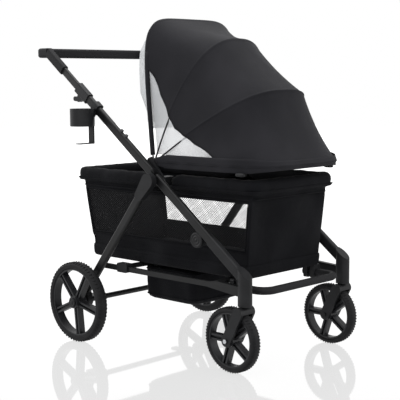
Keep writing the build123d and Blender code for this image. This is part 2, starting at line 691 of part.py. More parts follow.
# Side rails under the basket, each ending in a gusset against the caster housing
def make_side_rail(side):
    gusset_end = CASTER_X - BARREL_LENGTH / 2 + 2
    rail_low = RAIL_Z - RAIL_HEIGHT / 2
    rail_high = RAIL_Z + RAIL_HEIGHT / 2
    with BuildPart() as rail:
        with BuildSketch(side_plane(side * FRAME_Y)):
            with Locations(((RAIL_REAR + RAIL_FRONT) / 2, RAIL_Z)):
                RectangleRounded(RAIL_FRONT - RAIL_REAR, RAIL_HEIGHT, RAIL_HEIGHT / 3)
        extrude(amount=RAIL_WIDTH / 2, both=True)
        with BuildSketch(side_plane(side * FRAME_Y)):
            with BuildLine():
                Polyline((RAIL_FRONT - GUSSET_BACK, rail_low), (RAIL_FRONT - GUSSET_BACK, rail_high),
                         (RAIL_FRONT, rail_high + RAIL_HEIGHT / 3), (gusset_end, rail_high),
                         (gusset_end, RAIL_Z - GUSSET_DROP), close=True)
            make_face()
        extrude(amount=GUSSET_WIDTH / 2, both=True)
        add(casting_space(side), mode=Mode.SUBTRACT)
    return rail.part


# Block on each side rail that the rear leg passes when the stroller folds
def make_rail_clamp(side):
    inner_y = side * (FRAME_Y - RAIL_WIDTH / 2 - CLAMP_PLATE)
    depth = RAIL_WIDTH + 2 * CLAMP_PLATE
    with BuildPart() as clamp:
        with BuildSketch(side_plane(inner_y)):
            with Locations((CLAMP_X, RAIL_Z + CLAMP_RISE)):
                RectangleRounded(CLAMP_LENGTH, CLAMP_HEIGHT, CLAMP_HEIGHT / 5)
        extrude(amount=-side * depth)
        with BuildSketch(side_plane(side * FRAME_Y)):
            with Locations((CLAMP_X, RAIL_Z)):
                Rectangle(2 * CLAMP_LENGTH, RAIL_HEIGHT)
        extrude(amount=RAIL_WIDTH / 2, both=True, mode=Mode.SUBTRACT)
    return clamp.part


# Cross tubes between the side rails, under the basket floor
def make_cross_tube(x, half):
    with BuildPart() as tube:
        with BuildSketch(side_plane(0)):
            with Locations((x, CROSS_Z)):
                Circle(CROSS_RADIUS)
                Circle(CROSS_RADIUS - TUBE_WALL, mode=Mode.SUBTRACT)
        extrude(amount=half, both=True)
    return tube.part


# Front bumper: a round tube bent into a U, held by clamps under the basket floor
def make_bumper():
    start_x = FRONT_CROSS_X + CROSS_RADIUS + 3
    with BuildPart() as bumper:
        with BuildLine() as path:
            FilletPolyline((start_x, -BUMPER_HALF, BUMPER_Z), (BUMPER_X, -BUMPER_HALF, BUMPER_Z),
                           (BUMPER_X, BUMPER_HALF, BUMPER_Z), (start_x, BUMPER_HALF, BUMPER_Z),
                           radius=BUMPER_BEND)
        with BuildSketch(Plane(origin=(start_x, -BUMPER_HALF, BUMPER_Z), x_dir=(0, 1, 0), z_dir=(1, 0, 0))):
            Circle(BUMPER_RADIUS)
        sweep(path=path.wires()[0])
    return bumper.part


def make_bumper_clamps():
    low = BUMPER_Z - BUMPER_RADIUS - CLAMP_PLATE
    with BuildPart() as clamps:
        for x in BUMPER_CLAMP_PLACES:
            with BuildSketch(Plane.YZ.offset(x)):
                with Locations((-BUMPER_HALF, (BASKET_BOTTOM_Z + low) / 2), (BUMPER_HALF, (BASKET_BOTTOM_Z + low) / 2)):
                    RectangleRounded(2 * (BUMPER_RADIUS + CLAMP_PLATE), BASKET_BOTTOM_Z - low, CLAMP_PLATE)
                with Locations((-BUMPER_HALF, BUMPER_Z), (BUMPER_HALF, BUMPER_Z)):
                    Circle(BUMPER_RADIUS, mode=Mode.SUBTRACT)
            extrude(amount=BUMPER_CLAMP_LENGTH)
    return clamps.part


# Round boss under each front leg tube, the seat of the fold linkage
def make_fold_bosses():
    centre = tube_point(-BOSS_ALONG, TUBE_HEIGHT / 2 + BOSS_RADIUS - BOSS_BITE)
    with BuildPart() as bosses:
        for side in SIDES.values():
            outer_y = side * (FRAME_Y + BOSS_WIDTH / 2)
            cross_pin(centre, side * (FRAME_Y - BOSS_WIDTH / 2), outer_y, BOSS_RADIUS)
            cross_pin(centre, outer_y - side * 2, outer_y, BOSS_RADIUS * 0.7, Mode.SUBTRACT)
            cross_pin(centre, outer_y - side * 2, outer_y, BOSS_RADIUS * 0.4)
            cross_pin(centre, 0, 2 * outer_y, 3, Mode.SUBTRACT)
            with BuildSketch(tube_plane(-BOSS_ALONG - 2 * BOSS_RADIUS, side)):
                RectangleRounded(TUBE_WIDTH, TUBE_HEIGHT, TUBE_CORNER)
            extrude(amount=4 * BOSS_RADIUS, mode=Mode.SUBTRACT)
    return bosses.part


# Basket: fabric tub open at the top, with long mesh windows in both sides and a stiff board in the floor
def make_tub_solid(inset, floor_z):
    """The tub's outer form shrunk by an inset, from a height up to the rim rolls."""
    top_z = RIM_Z - ROLL_HEIGHT / 2
    with BuildPart() as solid:
        with BuildSketch(Plane.XY.offset(BASKET_BOTTOM_Z)):
            with Locations(((BASKET_BOTTOM_REAR + BASKET_BOTTOM_FRONT) / 2, 0)):
                RectangleRounded(BASKET_BOTTOM_FRONT - BASKET_BOTTOM_REAR - 2 * inset,
                                 2 * (BASKET_BOTTOM_HALF - inset), BASKET_CORNER - inset)
        with BuildSketch(Plane.XY.offset(top_z)):
            with Locations(((RIM_REAR + RIM_FRONT) / 2, 0)):
                RectangleRounded(RIM_FRONT - RIM_REAR - 2 * inset, 2 * (RIM_HALF - inset), BASKET_CORNER - inset)
        loft()
        if floor_z > BASKET_BOTTOM_Z:
            with BuildSketch(Plane.XY.offset(BASKET_BOTTOM_Z - 1)):
                Rectangle(3 * WHEELBASE, 3 * WHEELBASE)
            extrude(amount=floor_z - BASKET_BOTTOM_Z + 1, mode=Mode.SUBTRACT)
    return solid.part


def make_window_block(side):
    """The space of one side window, right through the tub's wall."""
    with BuildPart() as block:
        with BuildSketch(side_plane(side * (RIM_HALF + 5))):
            with Locations(((WINDOW_REAR + WINDOW_FRONT) / 2, (WINDOW_LOW_Z + WINDOW_HIGH_Z) / 2)):
                RectangleRounded(WINDOW_FRONT - WINDOW_REAR, WINDOW_HIGH_Z - WINDOW_LOW_Z, WINDOW_CORNER)
        extrude(amount=side * 6 * FABRIC)
    return block.part


def make_basket_shell():
    with BuildPart() as shell:
        add(make_tub_solid(0, BASKET_BOTTOM_Z))
        add(make_tub_solid(FABRIC, BASKET_BOTTOM_Z + FABRIC), mode=Mode.SUBTRACT)
        for side in SIDES.values():
            add(make_window_block(side), mode=Mode.SUBTRACT)
    return shell.part


def make_window(side):
    with BuildPart() as window:
        add(make_tub_solid((FABRIC - MESH) / 2, BASKET_BOTTOM_Z))
        add(make_tub_solid((FABRIC + MESH) / 2, BASKET_BOTTOM_Z), mode=Mode.SUBTRACT)
        add(make_window_block(side), mode=Mode.INTERSECT)
    return window.part


def make_floor_board():
    inset = 2 * FABRIC
    with BuildPart() as board:
        with BuildSketch(Plane.XY.offset(BASKET_BOTTOM_Z + FABRIC)):
            with Locations(((BASKET_BOTTOM_REAR + BASKET_BOTTOM_FRONT) / 2, 0)):
                RectangleRounded(BASKET_BOTTOM_FRONT - BASKET_BOTTOM_REAR - 2 * inset,
                                 2 * (BASKET_BOTTOM_HALF - inset), BASKET_CORNER - inset)
        extrude(amount=FLOOR_BOARD)
    return board.part


# Rim: a round tube loop in two padded fabric rolls, parted at the main joints
def make_rim_tube():
    middle = (RIM_REAR + RIM_FRONT) / 2
    with BuildPart() as tube:
        for far_x in (RIM_REAR, RIM_FRONT):
            with BuildLine() as path:
                FilletPolyline((middle, -RIM_HALF, RIM_Z), (far_x, -RIM_HALF, RIM_Z),
                               (far_x, RIM_HALF, RIM_Z), (middle, RIM_HALF, RIM_Z), radius=RIM_CORNER)
            with BuildSketch(Plane(origin=(middle, -RIM_HALF, RIM_Z), x_dir=(0, 1, 0), z_dir=(1, 0, 0))):
                Circle(RIM_TUBE_RADIUS)
            sweep(path=path.wires()[0])
    return tube.part


def make_rim_roll(near_x, far_x):
    with BuildPart() as roll:
        with BuildLine() as path:
            FilletPolyline((near_x, -RIM_HALF, RIM_Z), (far_x, -RIM_HALF, RIM_Z),
                           (far_x, RIM_HALF, RIM_Z), (near_x, RIM_HALF, RIM_Z), radius=RIM_CORNER)
        with BuildSketch(Plane(origin=(near_x, -RIM_HALF, RIM_Z), x_dir=(0, 1, 0), z_dir=(1, 0, 0))):
            RectangleRounded(ROLL_WIDTH, ROLL_HEIGHT, ROLL_WIDTH / 2 - 0.5)
            Circle(RIM_TUBE_RADIUS, mode=Mode.SUBTRACT)
        sweep(path=path.wires()[0])
    return roll.part


# Storage bag hung under the floor
def make_under_bag():
    with BuildPart() as bag:
        with BuildSketch(Plane.XY.offset(BAG_BOTTOM)):
            with Locations(((BAG_REAR + BAG_FRONT) / 2, 0)):
                RectangleRounded(BAG_FRONT - BAG_REAR, 2 * BAG_HALF, BAG_CORNER)
        extrude(amount=BAG_TOP - BAG_BOTTOM)
        fillet(bag.faces().sort_by(Axis.Z)[0].edges(), radius=BAG_FILLET)
    return bag.part


# Canopy: four bows on one pin each side, a cover over them, mesh sides and a rear screen
def bow_plane(name):
    angle = radians(BOWS[name]["angle"])
    return Plane(origin=(HUB_X, 0, HUB_Z), x_dir=(0, 1, 0), z_dir=(sin(angle), 0, -cos(angle)))


def bow_points(name, half, grow, lowest):
    """Evenly spaced points of one bow in its own plane, from its right leg over to its left."""
    reach = BOWS[name]["reach"] + grow
    roundness = BOWS[name]["roundness"]
    fine = []
    for step in range(BOW_FINE + 1):
        turn = pi * step / BOW_FINE
        across = abs(cos(turn)) ** roundness
        if cos(turn) > 0:
            across = -across
        along = reach * abs(sin(turn)) ** roundness
        if along > lowest:
            fine.append(Vector(half * across, along))
    length = sum((second - first).length for first, second in zip(fine, fine[1:]))
    points = [fine[0]]
    walked = 0
    for first, second in zip(fine, fine[1:]):
        walked = walked + (second - first).length
        if walked >= length * len(points) / BOW_STEPS:
            points.append(second)
    return [(point.X, point.Y) for point in points]


def make_bow(name):
    half = BOW_HALF - BOWS[name]["layer"] * BOW_LAYER
    plane = bow_plane(name)
    start = EYE_RADIUS - EYE_BITE
    with BuildPart() as bow:
        with BuildLine(plane) as path:
            Spline((-half, start), *bow_points(name, half, 0, 2 * start), (half, start))
        with BuildSketch(Plane(origin=plane.from_local_coords((-half, start, 0)), x_dir=plane.z_dir,
                               z_dir=path.wires()[0] % 0)):
            Circle(BOW_ROD)
        sweep(path=path.wires()[0])
        for side in SIDES.values():
            eye_y = side * half
            cross_pin((HUB_X, HUB_Z), eye_y - EYE_THICKNESS / 2, eye_y + EYE_THICKNESS / 2, EYE_RADIUS)
            cross_pin((HUB_X, HUB_Z), eye_y - EYE_THICKNESS, eye_y + EYE_THICKNESS, HUB_PIN + RUNNING_GAP,
                      Mode.SUBTRACT)
    return bow.part


def make_cover_panel(first, second):
    """Fabric between two neighbouring bows."""
    half = BOW_HALF + BOW_ROD + COVER_GAP
    grow = BOW_ROD + COVER_GAP
    with BuildPart() as panel:
        for name in (first, second):
            outer = bow_points(name, half + COVER, grow + COVER, COVER_START + BOW_ROD)
            inner = bow_points(name, half, grow, COVER_START + BOW_ROD)
            inner.reverse()
            with BuildSketch(bow_plane(name)):
                with BuildLine():
                    Spline((-half - COVER, COVER_START), *outer, (half + COVER, COVER_START))
                    Line((half + COVER, COVER_START), (half, COVER_START))
                    Spline((half, COVER_START), *inner, (-half, COVER_START))
                    Line((-half, COVER_START), (-half - COVER, COVER_START))
                make_face()
        loft(ruled=True)
    return panel.part


def make_canopy_cover():
    names = list(BOWS)
    with BuildPart() as cover:
        for first, second in zip(names[:-1], names[1:]):
            add(make_cover_panel(first, second))
    return cover.part


def make_screen_dome(inset):
    """Filled form of the rear screen: a rounded dome standing off the rear bow's plane."""
    plane = bow_plane("rear")
    with BuildPart() as dome:
        for share in SCREEN_STEPS:
            tuck = SCREEN_INSET + inset + BOW_HALF * (1 - (1 - share ** 2) ** SCREEN_FULLNESS)
            edge = BOW_HALF - tuck
            base = SCREEN_BASE + tuck
            points = bow_points("rear", edge, -tuck, base + BOW_ROD)
            with BuildSketch(plane.offset(-BOW_ROD - share * (SCREEN_BULGE - inset))):
                with BuildLine():
                    Spline((-edge, base), *points, (edge, base))
                    Line((edge, base), (-edge, base))
                make_face()
        loft(ruled=True)
    return dome.part


def make_rear_screen():
    with BuildPart() as screen:
        add(make_screen_dome(0))
        add(make_screen_dome(COVER), mode=Mode.SUBTRACT)
    return screen.part


for hand, hand_side in SIDES.items():
    save(make_upper_tube(hand_side), "upper_tube_" + hand)
    save(make_collar(hand_side), "collar_" + hand)
    save(make_lock_lever(hand_side), "lock_lever_" + hand)
    save(make_inner_tube(hand_side), "inner_tube_" + hand)
    save(make_front_leg(hand_side), "front_leg_" + hand)
    save(make_main_joint(hand_side), "main_joint_" + hand)
    save(make_caster_housing(hand_side), "caster_housing_" + hand)
    save(make_fork(hand_side), "fork_" + hand)
    save(make_wheel_rim(FRONT_AXLE_X, hand_side * FRAME_Y, FRONT_WHEEL_RADIUS, FRONT_WHEEL_WIDTH,
                        FRONT_HUB_WIDTH, FRONT_FIRST_SPOKE), "front_rim_" + hand)
    save(make_tyre(FRONT_AXLE_X, hand_side * FRAME_Y, FRONT_WHEEL_RADIUS, FRONT_WHEEL_WIDTH),
         "front_tyre_" + hand)
    save(make_wheel_rim(REAR_AXLE_X, hand_side * REAR_WHEEL_Y, REAR_WHEEL_RADIUS, REAR_WHEEL_WIDTH,
                        REAR_HUB_WIDTH, REAR_FIRST_SPOKE), "rear_rim_" + hand)
    save(make_tyre(REAR_AXLE_X, hand_side * REAR_WHEEL_Y, REAR_WHEEL_RADIUS, REAR_WHEEL_WIDTH),
         "rear_tyre_" + hand)
    save(make_rear_leg(hand_side), "rear_leg_" + hand)
    save(make_rear_knuckle(hand_side), "rear_knuckle_" + hand)
    save(make_axle_bracket(hand_side), "axle_bracket_" + hand)
    save(make_brake_pedal(hand_side), "brake_pedal_" + hand)
    save(make_side_rail(hand_side), "side_rail_" + hand)
    save(make_rail_clamp(hand_side), "rail_clamp_" + hand)
    save(make_window(hand_side), "window_" + hand)

save(make_handle_bar(), "handle_bar")
save(make_tube_studs(), "tube_studs")
save(make_cup_clip(), "cup_clip")
save(make_cup_holder(), "cup_holder")
save(make_rear_axle(), "rear_axle")
save(make_cross_tube(CLAMP_X, FRAME_Y - RAIL_WIDTH / 2 - CLAMP_PLATE), "rear_cross_tube")
save(make_cross_tube(FRONT_CROSS_X, FRAME_Y - GUSSET_WIDTH / 2), "front_cross_tube")
save(make_bumper(), "bumper")
save(make_bumper_clamps(), "bumper_clamps")
save(make_fold_bosses(), "fold_bosses")
save(make_basket_shell(), "basket_shell")
save(make_floor_board(), "floor_board")
save(make_rim_tube(), "rim_tube")
save(make_rim_roll(ROLL_GAP_FRONT, RIM_FRONT), "rim_roll_front")
save(make_rim_roll(ROLL_GAP_REAR, RIM_REAR), "rim_roll_rear")
save(make_under_bag(), "under_bag")
for bow_name in BOWS:
    save(make_bow(bow_name), "bow_" + bow_name)
save(make_canopy_cover(), "canopy_cover")
save(make_rear_screen(), "rear_screen")
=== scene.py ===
from math import atan2, cos, hypot, pi, radians, sin

import bpy
from mathutils import Matrix, Vector


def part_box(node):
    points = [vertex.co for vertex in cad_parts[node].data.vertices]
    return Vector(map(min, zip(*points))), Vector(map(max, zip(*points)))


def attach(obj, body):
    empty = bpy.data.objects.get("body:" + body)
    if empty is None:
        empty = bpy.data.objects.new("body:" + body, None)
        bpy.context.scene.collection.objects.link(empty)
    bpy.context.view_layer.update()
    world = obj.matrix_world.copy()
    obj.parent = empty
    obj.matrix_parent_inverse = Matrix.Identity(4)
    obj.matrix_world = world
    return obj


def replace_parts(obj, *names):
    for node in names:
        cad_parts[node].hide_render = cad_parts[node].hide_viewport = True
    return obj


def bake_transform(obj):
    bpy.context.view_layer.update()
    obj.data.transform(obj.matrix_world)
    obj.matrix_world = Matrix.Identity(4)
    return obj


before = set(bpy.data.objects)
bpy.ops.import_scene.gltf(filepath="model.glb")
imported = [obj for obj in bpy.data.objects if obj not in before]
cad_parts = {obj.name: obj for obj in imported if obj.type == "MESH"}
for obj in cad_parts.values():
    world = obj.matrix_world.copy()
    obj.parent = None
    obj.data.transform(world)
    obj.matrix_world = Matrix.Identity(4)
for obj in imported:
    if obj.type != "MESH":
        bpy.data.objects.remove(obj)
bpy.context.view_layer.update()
SIDES = {"right": -1, "left": 1}


# The stroller stands on a plain pale studio floor and is looked at from its front right, a little under
# the handle's height. Wide soft boxes hang over and beside it, as for a catalogue picture.
VIEW_FROM = (2.542, -2.587, 0.906)
VIEW_TURN = 44.0
VIEW_DIP = 6.6
VIEW_ROLL = -0.417
VIEW_LENS = 93.5
FLOOR_HALF = 14
SOFT_BOXES = {
    "key": ((1.6, -3.4, 3.2), (0.0, 0.0, 0.5), 2.2, 70),
    "top": ((-0.4, 0.2, 3.6), (0.0, 0.0, 0.4), 2.6, 80),
    "side": ((3.6, 1.6, 1.6), (0.0, 0.0, 0.6), 1.6, 38),
    "back": ((-3.0, -1.4, 1.8), (0.0, 0.0, 0.6), 1.4, 26),
}

lens = bpy.data.cameras.new("view")
lens.lens = VIEW_LENS
camera = bpy.data.objects.new("view", lens)
camera.matrix_world = (Matrix.Translation(VIEW_FROM) @ Matrix.Rotation(radians(VIEW_TURN), 4, "Z")
                       @ Matrix.Rotation(radians(90 - VIEW_DIP), 4, "X")
                       @ Matrix.Rotation(radians(VIEW_ROLL), 4, "Z"))
bpy.context.scene.collection.objects.link(camera)
bpy.context.scene.camera = camera

for name, (place, aim, size, power) in SOFT_BOXES.items():
    light = bpy.data.lights.new("soft_box_" + name, "AREA")
    light.size = size
    light.energy = power
    lamp = bpy.data.objects.new("soft_box_" + name, light)
    lamp.location = place
    lamp.rotation_euler = (Vector(aim) - Vector(place)).to_track_quat("-Z", "Y").to_euler()
    bpy.context.scene.collection.objects.link(lamp)

world = bpy.data.worlds.new("studio")
world.use_nodes = True
world.node_tree.nodes["Background"].inputs["Color"].default_value = (1, 1, 1, 1)
world.node_tree.nodes["Background"].inputs["Strength"].default_value = 1.0
bpy.context.scene.world = world
bpy.context.scene.view_settings.view_transform = "Standard"

floor_mesh = bpy.data.meshes.new("floor")
floor_mesh.from_pydata([(-FLOOR_HALF, -FLOOR_HALF, 0), (FLOOR_HALF, -FLOOR_HALF, 0),
                        (FLOOR_HALF, FLOOR_HALF, 0), (-FLOOR_HALF, FLOOR_HALF, 0)], [], [(0, 1, 2, 3)])
floor = bpy.data.objects.new("floor", floor_mesh)
floor.location.z = -0.001
bpy.context.scene.collection.objects.link(floor)


class Wire:
    """One socket of a finish, so that its shader maths reads as arithmetic."""

    def __init__(self, finish, socket):
        self.finish = finish
        self.socket = socket

    def maths(self, operation, *values):
        return self.finish.node("ShaderNodeMath", {"operation": operation},
                                **{"_%d" % place: value for place, value in enumerate(values)})

    def __add__(self, other):
        return self.maths("ADD", self, other)

    def __sub__(self, other):
        return self.maths("SUBTRACT", self, other)

    def __rsub__(self, other):
        return self.maths("SUBTRACT", other, self)

    def __mul__(self, other):
        return self.maths("MULTIPLY", self, other)

    def __truediv__(self, other):
        return self.maths("DIVIDE", self, other)

    def __pow__(self, other):
        return self.maths("POWER", self, other)

    __radd__ = __add__
    __rmul__ = __mul__

    def wave(self, pitch):
        """A sine over this wire with one rise and fall in each pitch."""
        return self.maths("SINE", self * (2 * pi / pitch))

    def size(self):
        return self.maths("ABSOLUTE", self)

    def ramp(self, low, high):
        """0 below low, 1 above high, and a smooth step between."""
        return self.finish.node("ShaderNodeMapRange", {"interpolation_type": "SMOOTHSTEP"},
                                Value=self, From_Min=low, From_Max=high)


class Finish:
    """One material of the stroller: its shader and the nodes that vary it over a surface."""

    def __init__(self, name, **settled):
        self.material = bpy.data.materials.new(name)
        self.material.use_nodes = True
        self.tree = self.material.node_tree
        self.shader = self.tree.nodes["Principled BSDF"]
        self.vary(**settled)

    def feed(self, socket, value):
        if isinstance(value, Wire):
            self.tree.links.new(value.socket, socket)
        else:
            socket.default_value = value

    def vary(self, **values):
        for name, value in values.items():
            self.feed(self.shader.inputs[name.replace("_", " ")], value)

    def node(self, kind, settings=(), out=0, **values):
        made = self.tree.nodes.new(kind)
        for name, value in dict(settings).items():
            setattr(made, name, value)
        for name, value in values.items():
            self.feed(made.inputs[int(name[1:]) if name[0] == "_" else name.replace("_", " ")], value)
        return Wire(self, made.outputs[out])

    def place(self):
        """X, y and z over the piece, in metres."""
        spot = self.node("ShaderNodeTexCoord", out=3)
        return [self.node("ShaderNodeSeparateXYZ", out=axis, Vector=spot) for axis in range(3)]

    def noise(self, scale, detail=2.0, roughness=0.5, stretch=(1, 1, 1)):
        spot = self.node("ShaderNodeTexCoord", out=3)
        spot = self.node("ShaderNodeVectorMath", {"operation": "MULTIPLY"}, _0=spot, _1=stretch)
        return self.node("ShaderNodeTexNoise", Vector=spot, Scale=scale, Detail=detail, Roughness=roughness)

    def colours(self, factor, first, second):
        return self.node("ShaderNodeMix", {"data_type": "RGBA"}, out=2,
                         _0=factor, _6=(*first, 1), _7=(*second, 1))

    def relief(self, height, strength=1.0):
        self.vary(Normal=self.node("ShaderNodeBump", Strength=strength, Distance=1.0, Height=height))


def finish_nodes(finish, *starts):
    """Gives a finish to every CAD node whose name begins with one of the starts."""
    for name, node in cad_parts.items():
        if name.startswith(starts):
            node.data.materials.clear()
            node.data.materials.append(finish.material)


floor_finish = Finish("studio_floor", Base_Color=(0.05, 0.05, 0.05, 1), Roughness=0.04,
                      Specular_IOR_Level=0.5, Emission_Color=(1, 1, 1, 1), Emission_Strength=0.72)
floor.data.materials.append(floor_finish.material)


# Frame: oval tubes of the legs, handle uprights, rails and axle, drawn steel or aluminium with a satin
# charcoal enamel. The enamel is a little duller where hands and straps rub it.
ENAMEL = (0.0055, 0.0056, 0.006)
ENAMEL_WORN = (0.009, 0.0092, 0.0098)

enamel = Finish("charcoal_enamel", Specular_IOR_Level=0.22)
rub = enamel.noise(9, 3)
speck = enamel.noise(900, 1)
enamel.vary(Base_Color=enamel.colours(rub.ramp(0.45, 0.75), ENAMEL, ENAMEL_WORN),
            Roughness=0.34 + rub * 0.14)
enamel.relief(speck * 0.00006)
finish_nodes(enamel, "front_leg", "upper_tube", "rear_leg", "rear_axle", "side_rail", "rear_cross",
             "front_cross", "inner_tube")


# Joint parts: knuckles, castings, forks, clamps, collars and the cup holder, moulded in glass-filled
# nylon with a fine spark-eroded grain.
NYLON = (0.007, 0.0072, 0.008)
NYLON_PALE = (0.011, 0.0113, 0.0125)

nylon = Finish("grained_nylon", Specular_IOR_Level=0.2)
grain = nylon.noise(1400, 2)
cloud = nylon.noise(24, 2)
nylon.vary(Base_Color=nylon.colours(cloud.ramp(0.3, 0.8), NYLON, NYLON_PALE), Roughness=0.42 + cloud * 0.12)
nylon.relief(grain * 0.00009)
finish_nodes(nylon, "main_joint", "rear_knuckle", "caster_housing", "fork", "axle_bracket", "brake_pedal",
             "collar", "lock_lever", "rail_clamp", "fold_bosses", "cup_clip", "cup_holder")


# Small buttons and studs on the uprights, pressed in from a paler moulded plastic.
STUD = (0.018, 0.0185, 0.021)
STUD_PALE = (0.026, 0.027, 0.03)

stud = Finish("stud_plastic", Specular_IOR_Level=0.5)
stud.vary(Base_Color=stud.colours(stud.noise(200), STUD, STUD_PALE), Roughness=0.3)
finish_nodes(stud, "tube_studs")


# Grips: the handle's sleeve and the front bar are covered with closed-cell foam, matt, with a fine
# pebbled skin.
FOAM = (0.009, 0.009, 0.0098)
FOAM_PALE = (0.014, 0.014, 0.0155)

foam = Finish("grip_foam", Specular_IOR_Level=0.12)
pebble = foam.noise(700, 3)
foam.vary(Base_Color=foam.colours(pebble.ramp(0.35, 0.75), FOAM, FOAM_PALE), Roughness=0.55 + pebble * 0.15)
foam.relief(pebble * 0.0002)
finish_nodes(foam, "handle_bar", "bumper")
finish_nodes(nylon, "bumper_clamps")


# Wheels: a moulded grey-black rim with five pairs of spokes, and a solid foam tyre with slanted
# tread bars round both shoulders. Each wheel's bars are one moulding with its tyre.
RUBBER = (0.009, 0.009, 0.0098)
RUBBER_DUSTY = (0.016, 0.016, 0.0168)
RIM_GREY = (0.010, 0.0103, 0.0115)
RIM_PALE = (0.016, 0.0165, 0.0185)
TREAD_BARS = 64
TREAD_PROUD = 0.0011
TREAD_LEAN = 0.035
TREAD_WIDE = 0.018

tyre_rubber = Finish("tyre_foam", Specular_IOR_Level=0.14)
dust = tyre_rubber.noise(30, 4)
tyre_rubber.vary(Base_Color=tyre_rubber.colours(dust.ramp(0.4, 0.85), RUBBER, RUBBER_DUSTY),
                 Roughness=0.55 + dust * 0.2)
tyre_rubber.relief(tyre_rubber.noise(500, 2) * 0.00025)
rim_plastic = Finish("rim_plastic", Specular_IOR_Level=0.26)
rim_cloud = rim_plastic.noise(40, 2)
rim_plastic.vary(Base_Color=rim_plastic.colours(rim_cloud, RIM_GREY, RIM_PALE),
                 Roughness=0.3 + rim_cloud * 0.15)
rim_plastic.relief(rim_plastic.noise(1200, 1) * 0.00006)
finish_nodes(tyre_rubber, "front_tyre", "rear_tyre")
finish_nodes(rim_plastic, "front_rim", "rear_rim")


def add_piece(name, points, faces, finish, smooth=True):
    """A new mesh piece in the row frame with its finish."""
    mesh = bpy.data.meshes.new(name)
    mesh.from_pydata([tuple(point) for point in points], [], faces)
    mesh.validate()
    if smooth:
        mesh.shade_smooth()
    mesh.materials.append(finish.material)
    piece = bpy.data.objects.new(name, mesh)
    bpy.context.scene.collection.objects.link(piece)
    return piece


def tread(name, tyre):
    low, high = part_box(tyre)
    middle = (low + high) / 2
    radius = (high.z - low.z) / 2
    half = (high.y - low.y) / 2
    points = []
    faces = []
    # Across the shoulder: how far out from the middle plane, and how far under the crown
    section = ((0.42, 0.0), (0.66, 0.0008), (0.86, 0.0052), (0.97, 0.011))
    for bar in range(TREAD_BARS):
        for side in (-1, 1):
            turn = 2 * pi * (bar + (0.25 if side > 0 else 0)) / TREAD_BARS
            first = len(points)
            for step, (out, under) in enumerate(section):
                lean = TREAD_LEAN * step / 3
                for edge, lift in ((-1, -0.002), (-0.6, TREAD_PROUD), (0.6, TREAD_PROUD), (1, -0.002)):
                    angle = turn + lean + edge * TREAD_WIDE / 2
                    reach = min(radius - under + lift, radius + 0.0002)
                    points.append((middle.x + reach * cos(angle), middle.y + side * half * out,
                                   middle.z + reach * sin(angle)))
            for step in range(len(section) - 1):
                for edge in range(3):
                    corner = first + step * 4 + edge
                    faces.append((corner, corner + 1, corner + 5, corner + 4))
    return add_piece(name, points, faces, tyre_rubber, smooth=False)


for hand in SIDES:
    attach(tread("rear_tread_" + hand, "rear_tyre_" + hand), "rear_wheel_" + hand)
    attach(tread("front_tread_" + hand, "front_tyre_" + hand), "front_wheel_" + hand)


# Axle ends: bright hexagon bolt heads on the outside of the front forks, and rings turned into the rear
# hub caps.
BOLT_STEEL = (0.42, 0.43, 0.45)
BOLT_BRIGHT = (0.55, 0.56, 0.58)
BOLT_ACROSS = 0.0075
BOLT_DEEP = 0.0025

steel = Finish("bolt_steel", Metallic=1.0)
steel.vary(Base_Color=steel.colours(steel.noise(300), BOLT_STEEL, BOLT_BRIGHT),
           Roughness=0.25 + steel.noise(90) * 0.15)


def turned(name, centre, side, rings, finish, corners=40):
    """A round piece on a sideways axis: rings of (radius, distance outward) from its edge to its middle."""
    points = []
    faces = []
    for radius, out in rings:
        for corner in range(corners):
            angle = 2 * pi * corner / corners
            points.append((centre[0] + radius * cos(angle), centre[1] + side * out,
                           centre[2] + radius * sin(angle)))
    for ring in range(len(rings) - 1):
        for corner in range(corners):
            near = ring * corners + corner
            far = ring * corners + (corner + 1) % corners
            faces.append((near, far, far + corners, near + corners))
    faces.append(tuple(range((len(rings) - 1) * corners, len(rings) * corners)))
    return add_piece(name, points, faces, finish, smooth=corners > 8)


for hand, side in SIDES.items():
    low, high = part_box("front_rim_" + hand)
    axle = (low + high) / 2
    low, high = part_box("fork_" + hand)
    face = low.y if side < 0 else high.y
    bolt = turned("axle_bolt_" + hand, (axle.x, face, axle.z), side,
                  [(BOLT_ACROSS, -0.001), (BOLT_ACROSS, BOLT_DEEP * 0.7), (BOLT_ACROSS * 0.8, BOLT_DEEP),
                   (0.001, BOLT_DEEP)], steel, corners=6)
    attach(bolt, "caster_" + hand)
    low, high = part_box("rear_rim_" + hand)
    axle = (low + high) / 2
    low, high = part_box("rear_axle")
    face = low.y if side < 0 else high.y
    cap = turned("hub_cap_" + hand, (axle.x, face, axle.z), side,
                 [(0.0155, -0.0045), (0.0155, -0.0005), (0.0145, 0.0006), (0.0105, 0.0008), (0.0098, -0.0003),
                  (0.0088, -0.0003), (0.008, 0.0008), (0.001, 0.0012)], nylon)
    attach(cap, "rear_frame")


# Fold bosses: the round moulded caps under the front legs where the frame folds, each with rings turned
# into its face and a screw in the middle.
low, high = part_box("fold_bosses")
boss_x = (low.x + high.x) / 2
boss_z = (low.z + high.z) / 2
boss_radius = (high.z - low.z) / 2
for hand, side in SIDES.items():
    face = low.y if side < 0 else high.y
    dish = turned("boss_face_" + hand, (boss_x, face, boss_z), side,
                  [(boss_radius - 0.0015, -0.0004), (boss_radius - 0.003, 0.0012), (boss_radius - 0.0065, 0.0012),
                   (boss_radius - 0.0072, 0.0003), (boss_radius - 0.0115, 0.0003), (boss_radius - 0.0122, 0.0014),
                   (boss_radius - 0.0155, 0.0014), (boss_radius - 0.0165, 0.0004), (0.0042, 0.0004),
                   (0.0036, 0.0018), (0.001, 0.0022)], nylon)
    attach(dish, "chassis")


# Basket cloth: heavy woven polyester, near black, coated inside. The same cloth covers the padded rim, the
# flap under it and the bag.
BASKET_CLOTH = (0.0035, 0.0036, 0.0045)
# The paler tone is painted light on the crests of the cloth's creases, against painted shade in their hollows.
BASKET_CLOTH_PAINTED_CREST_LIGHT = (0.0072, 0.0074, 0.0088)


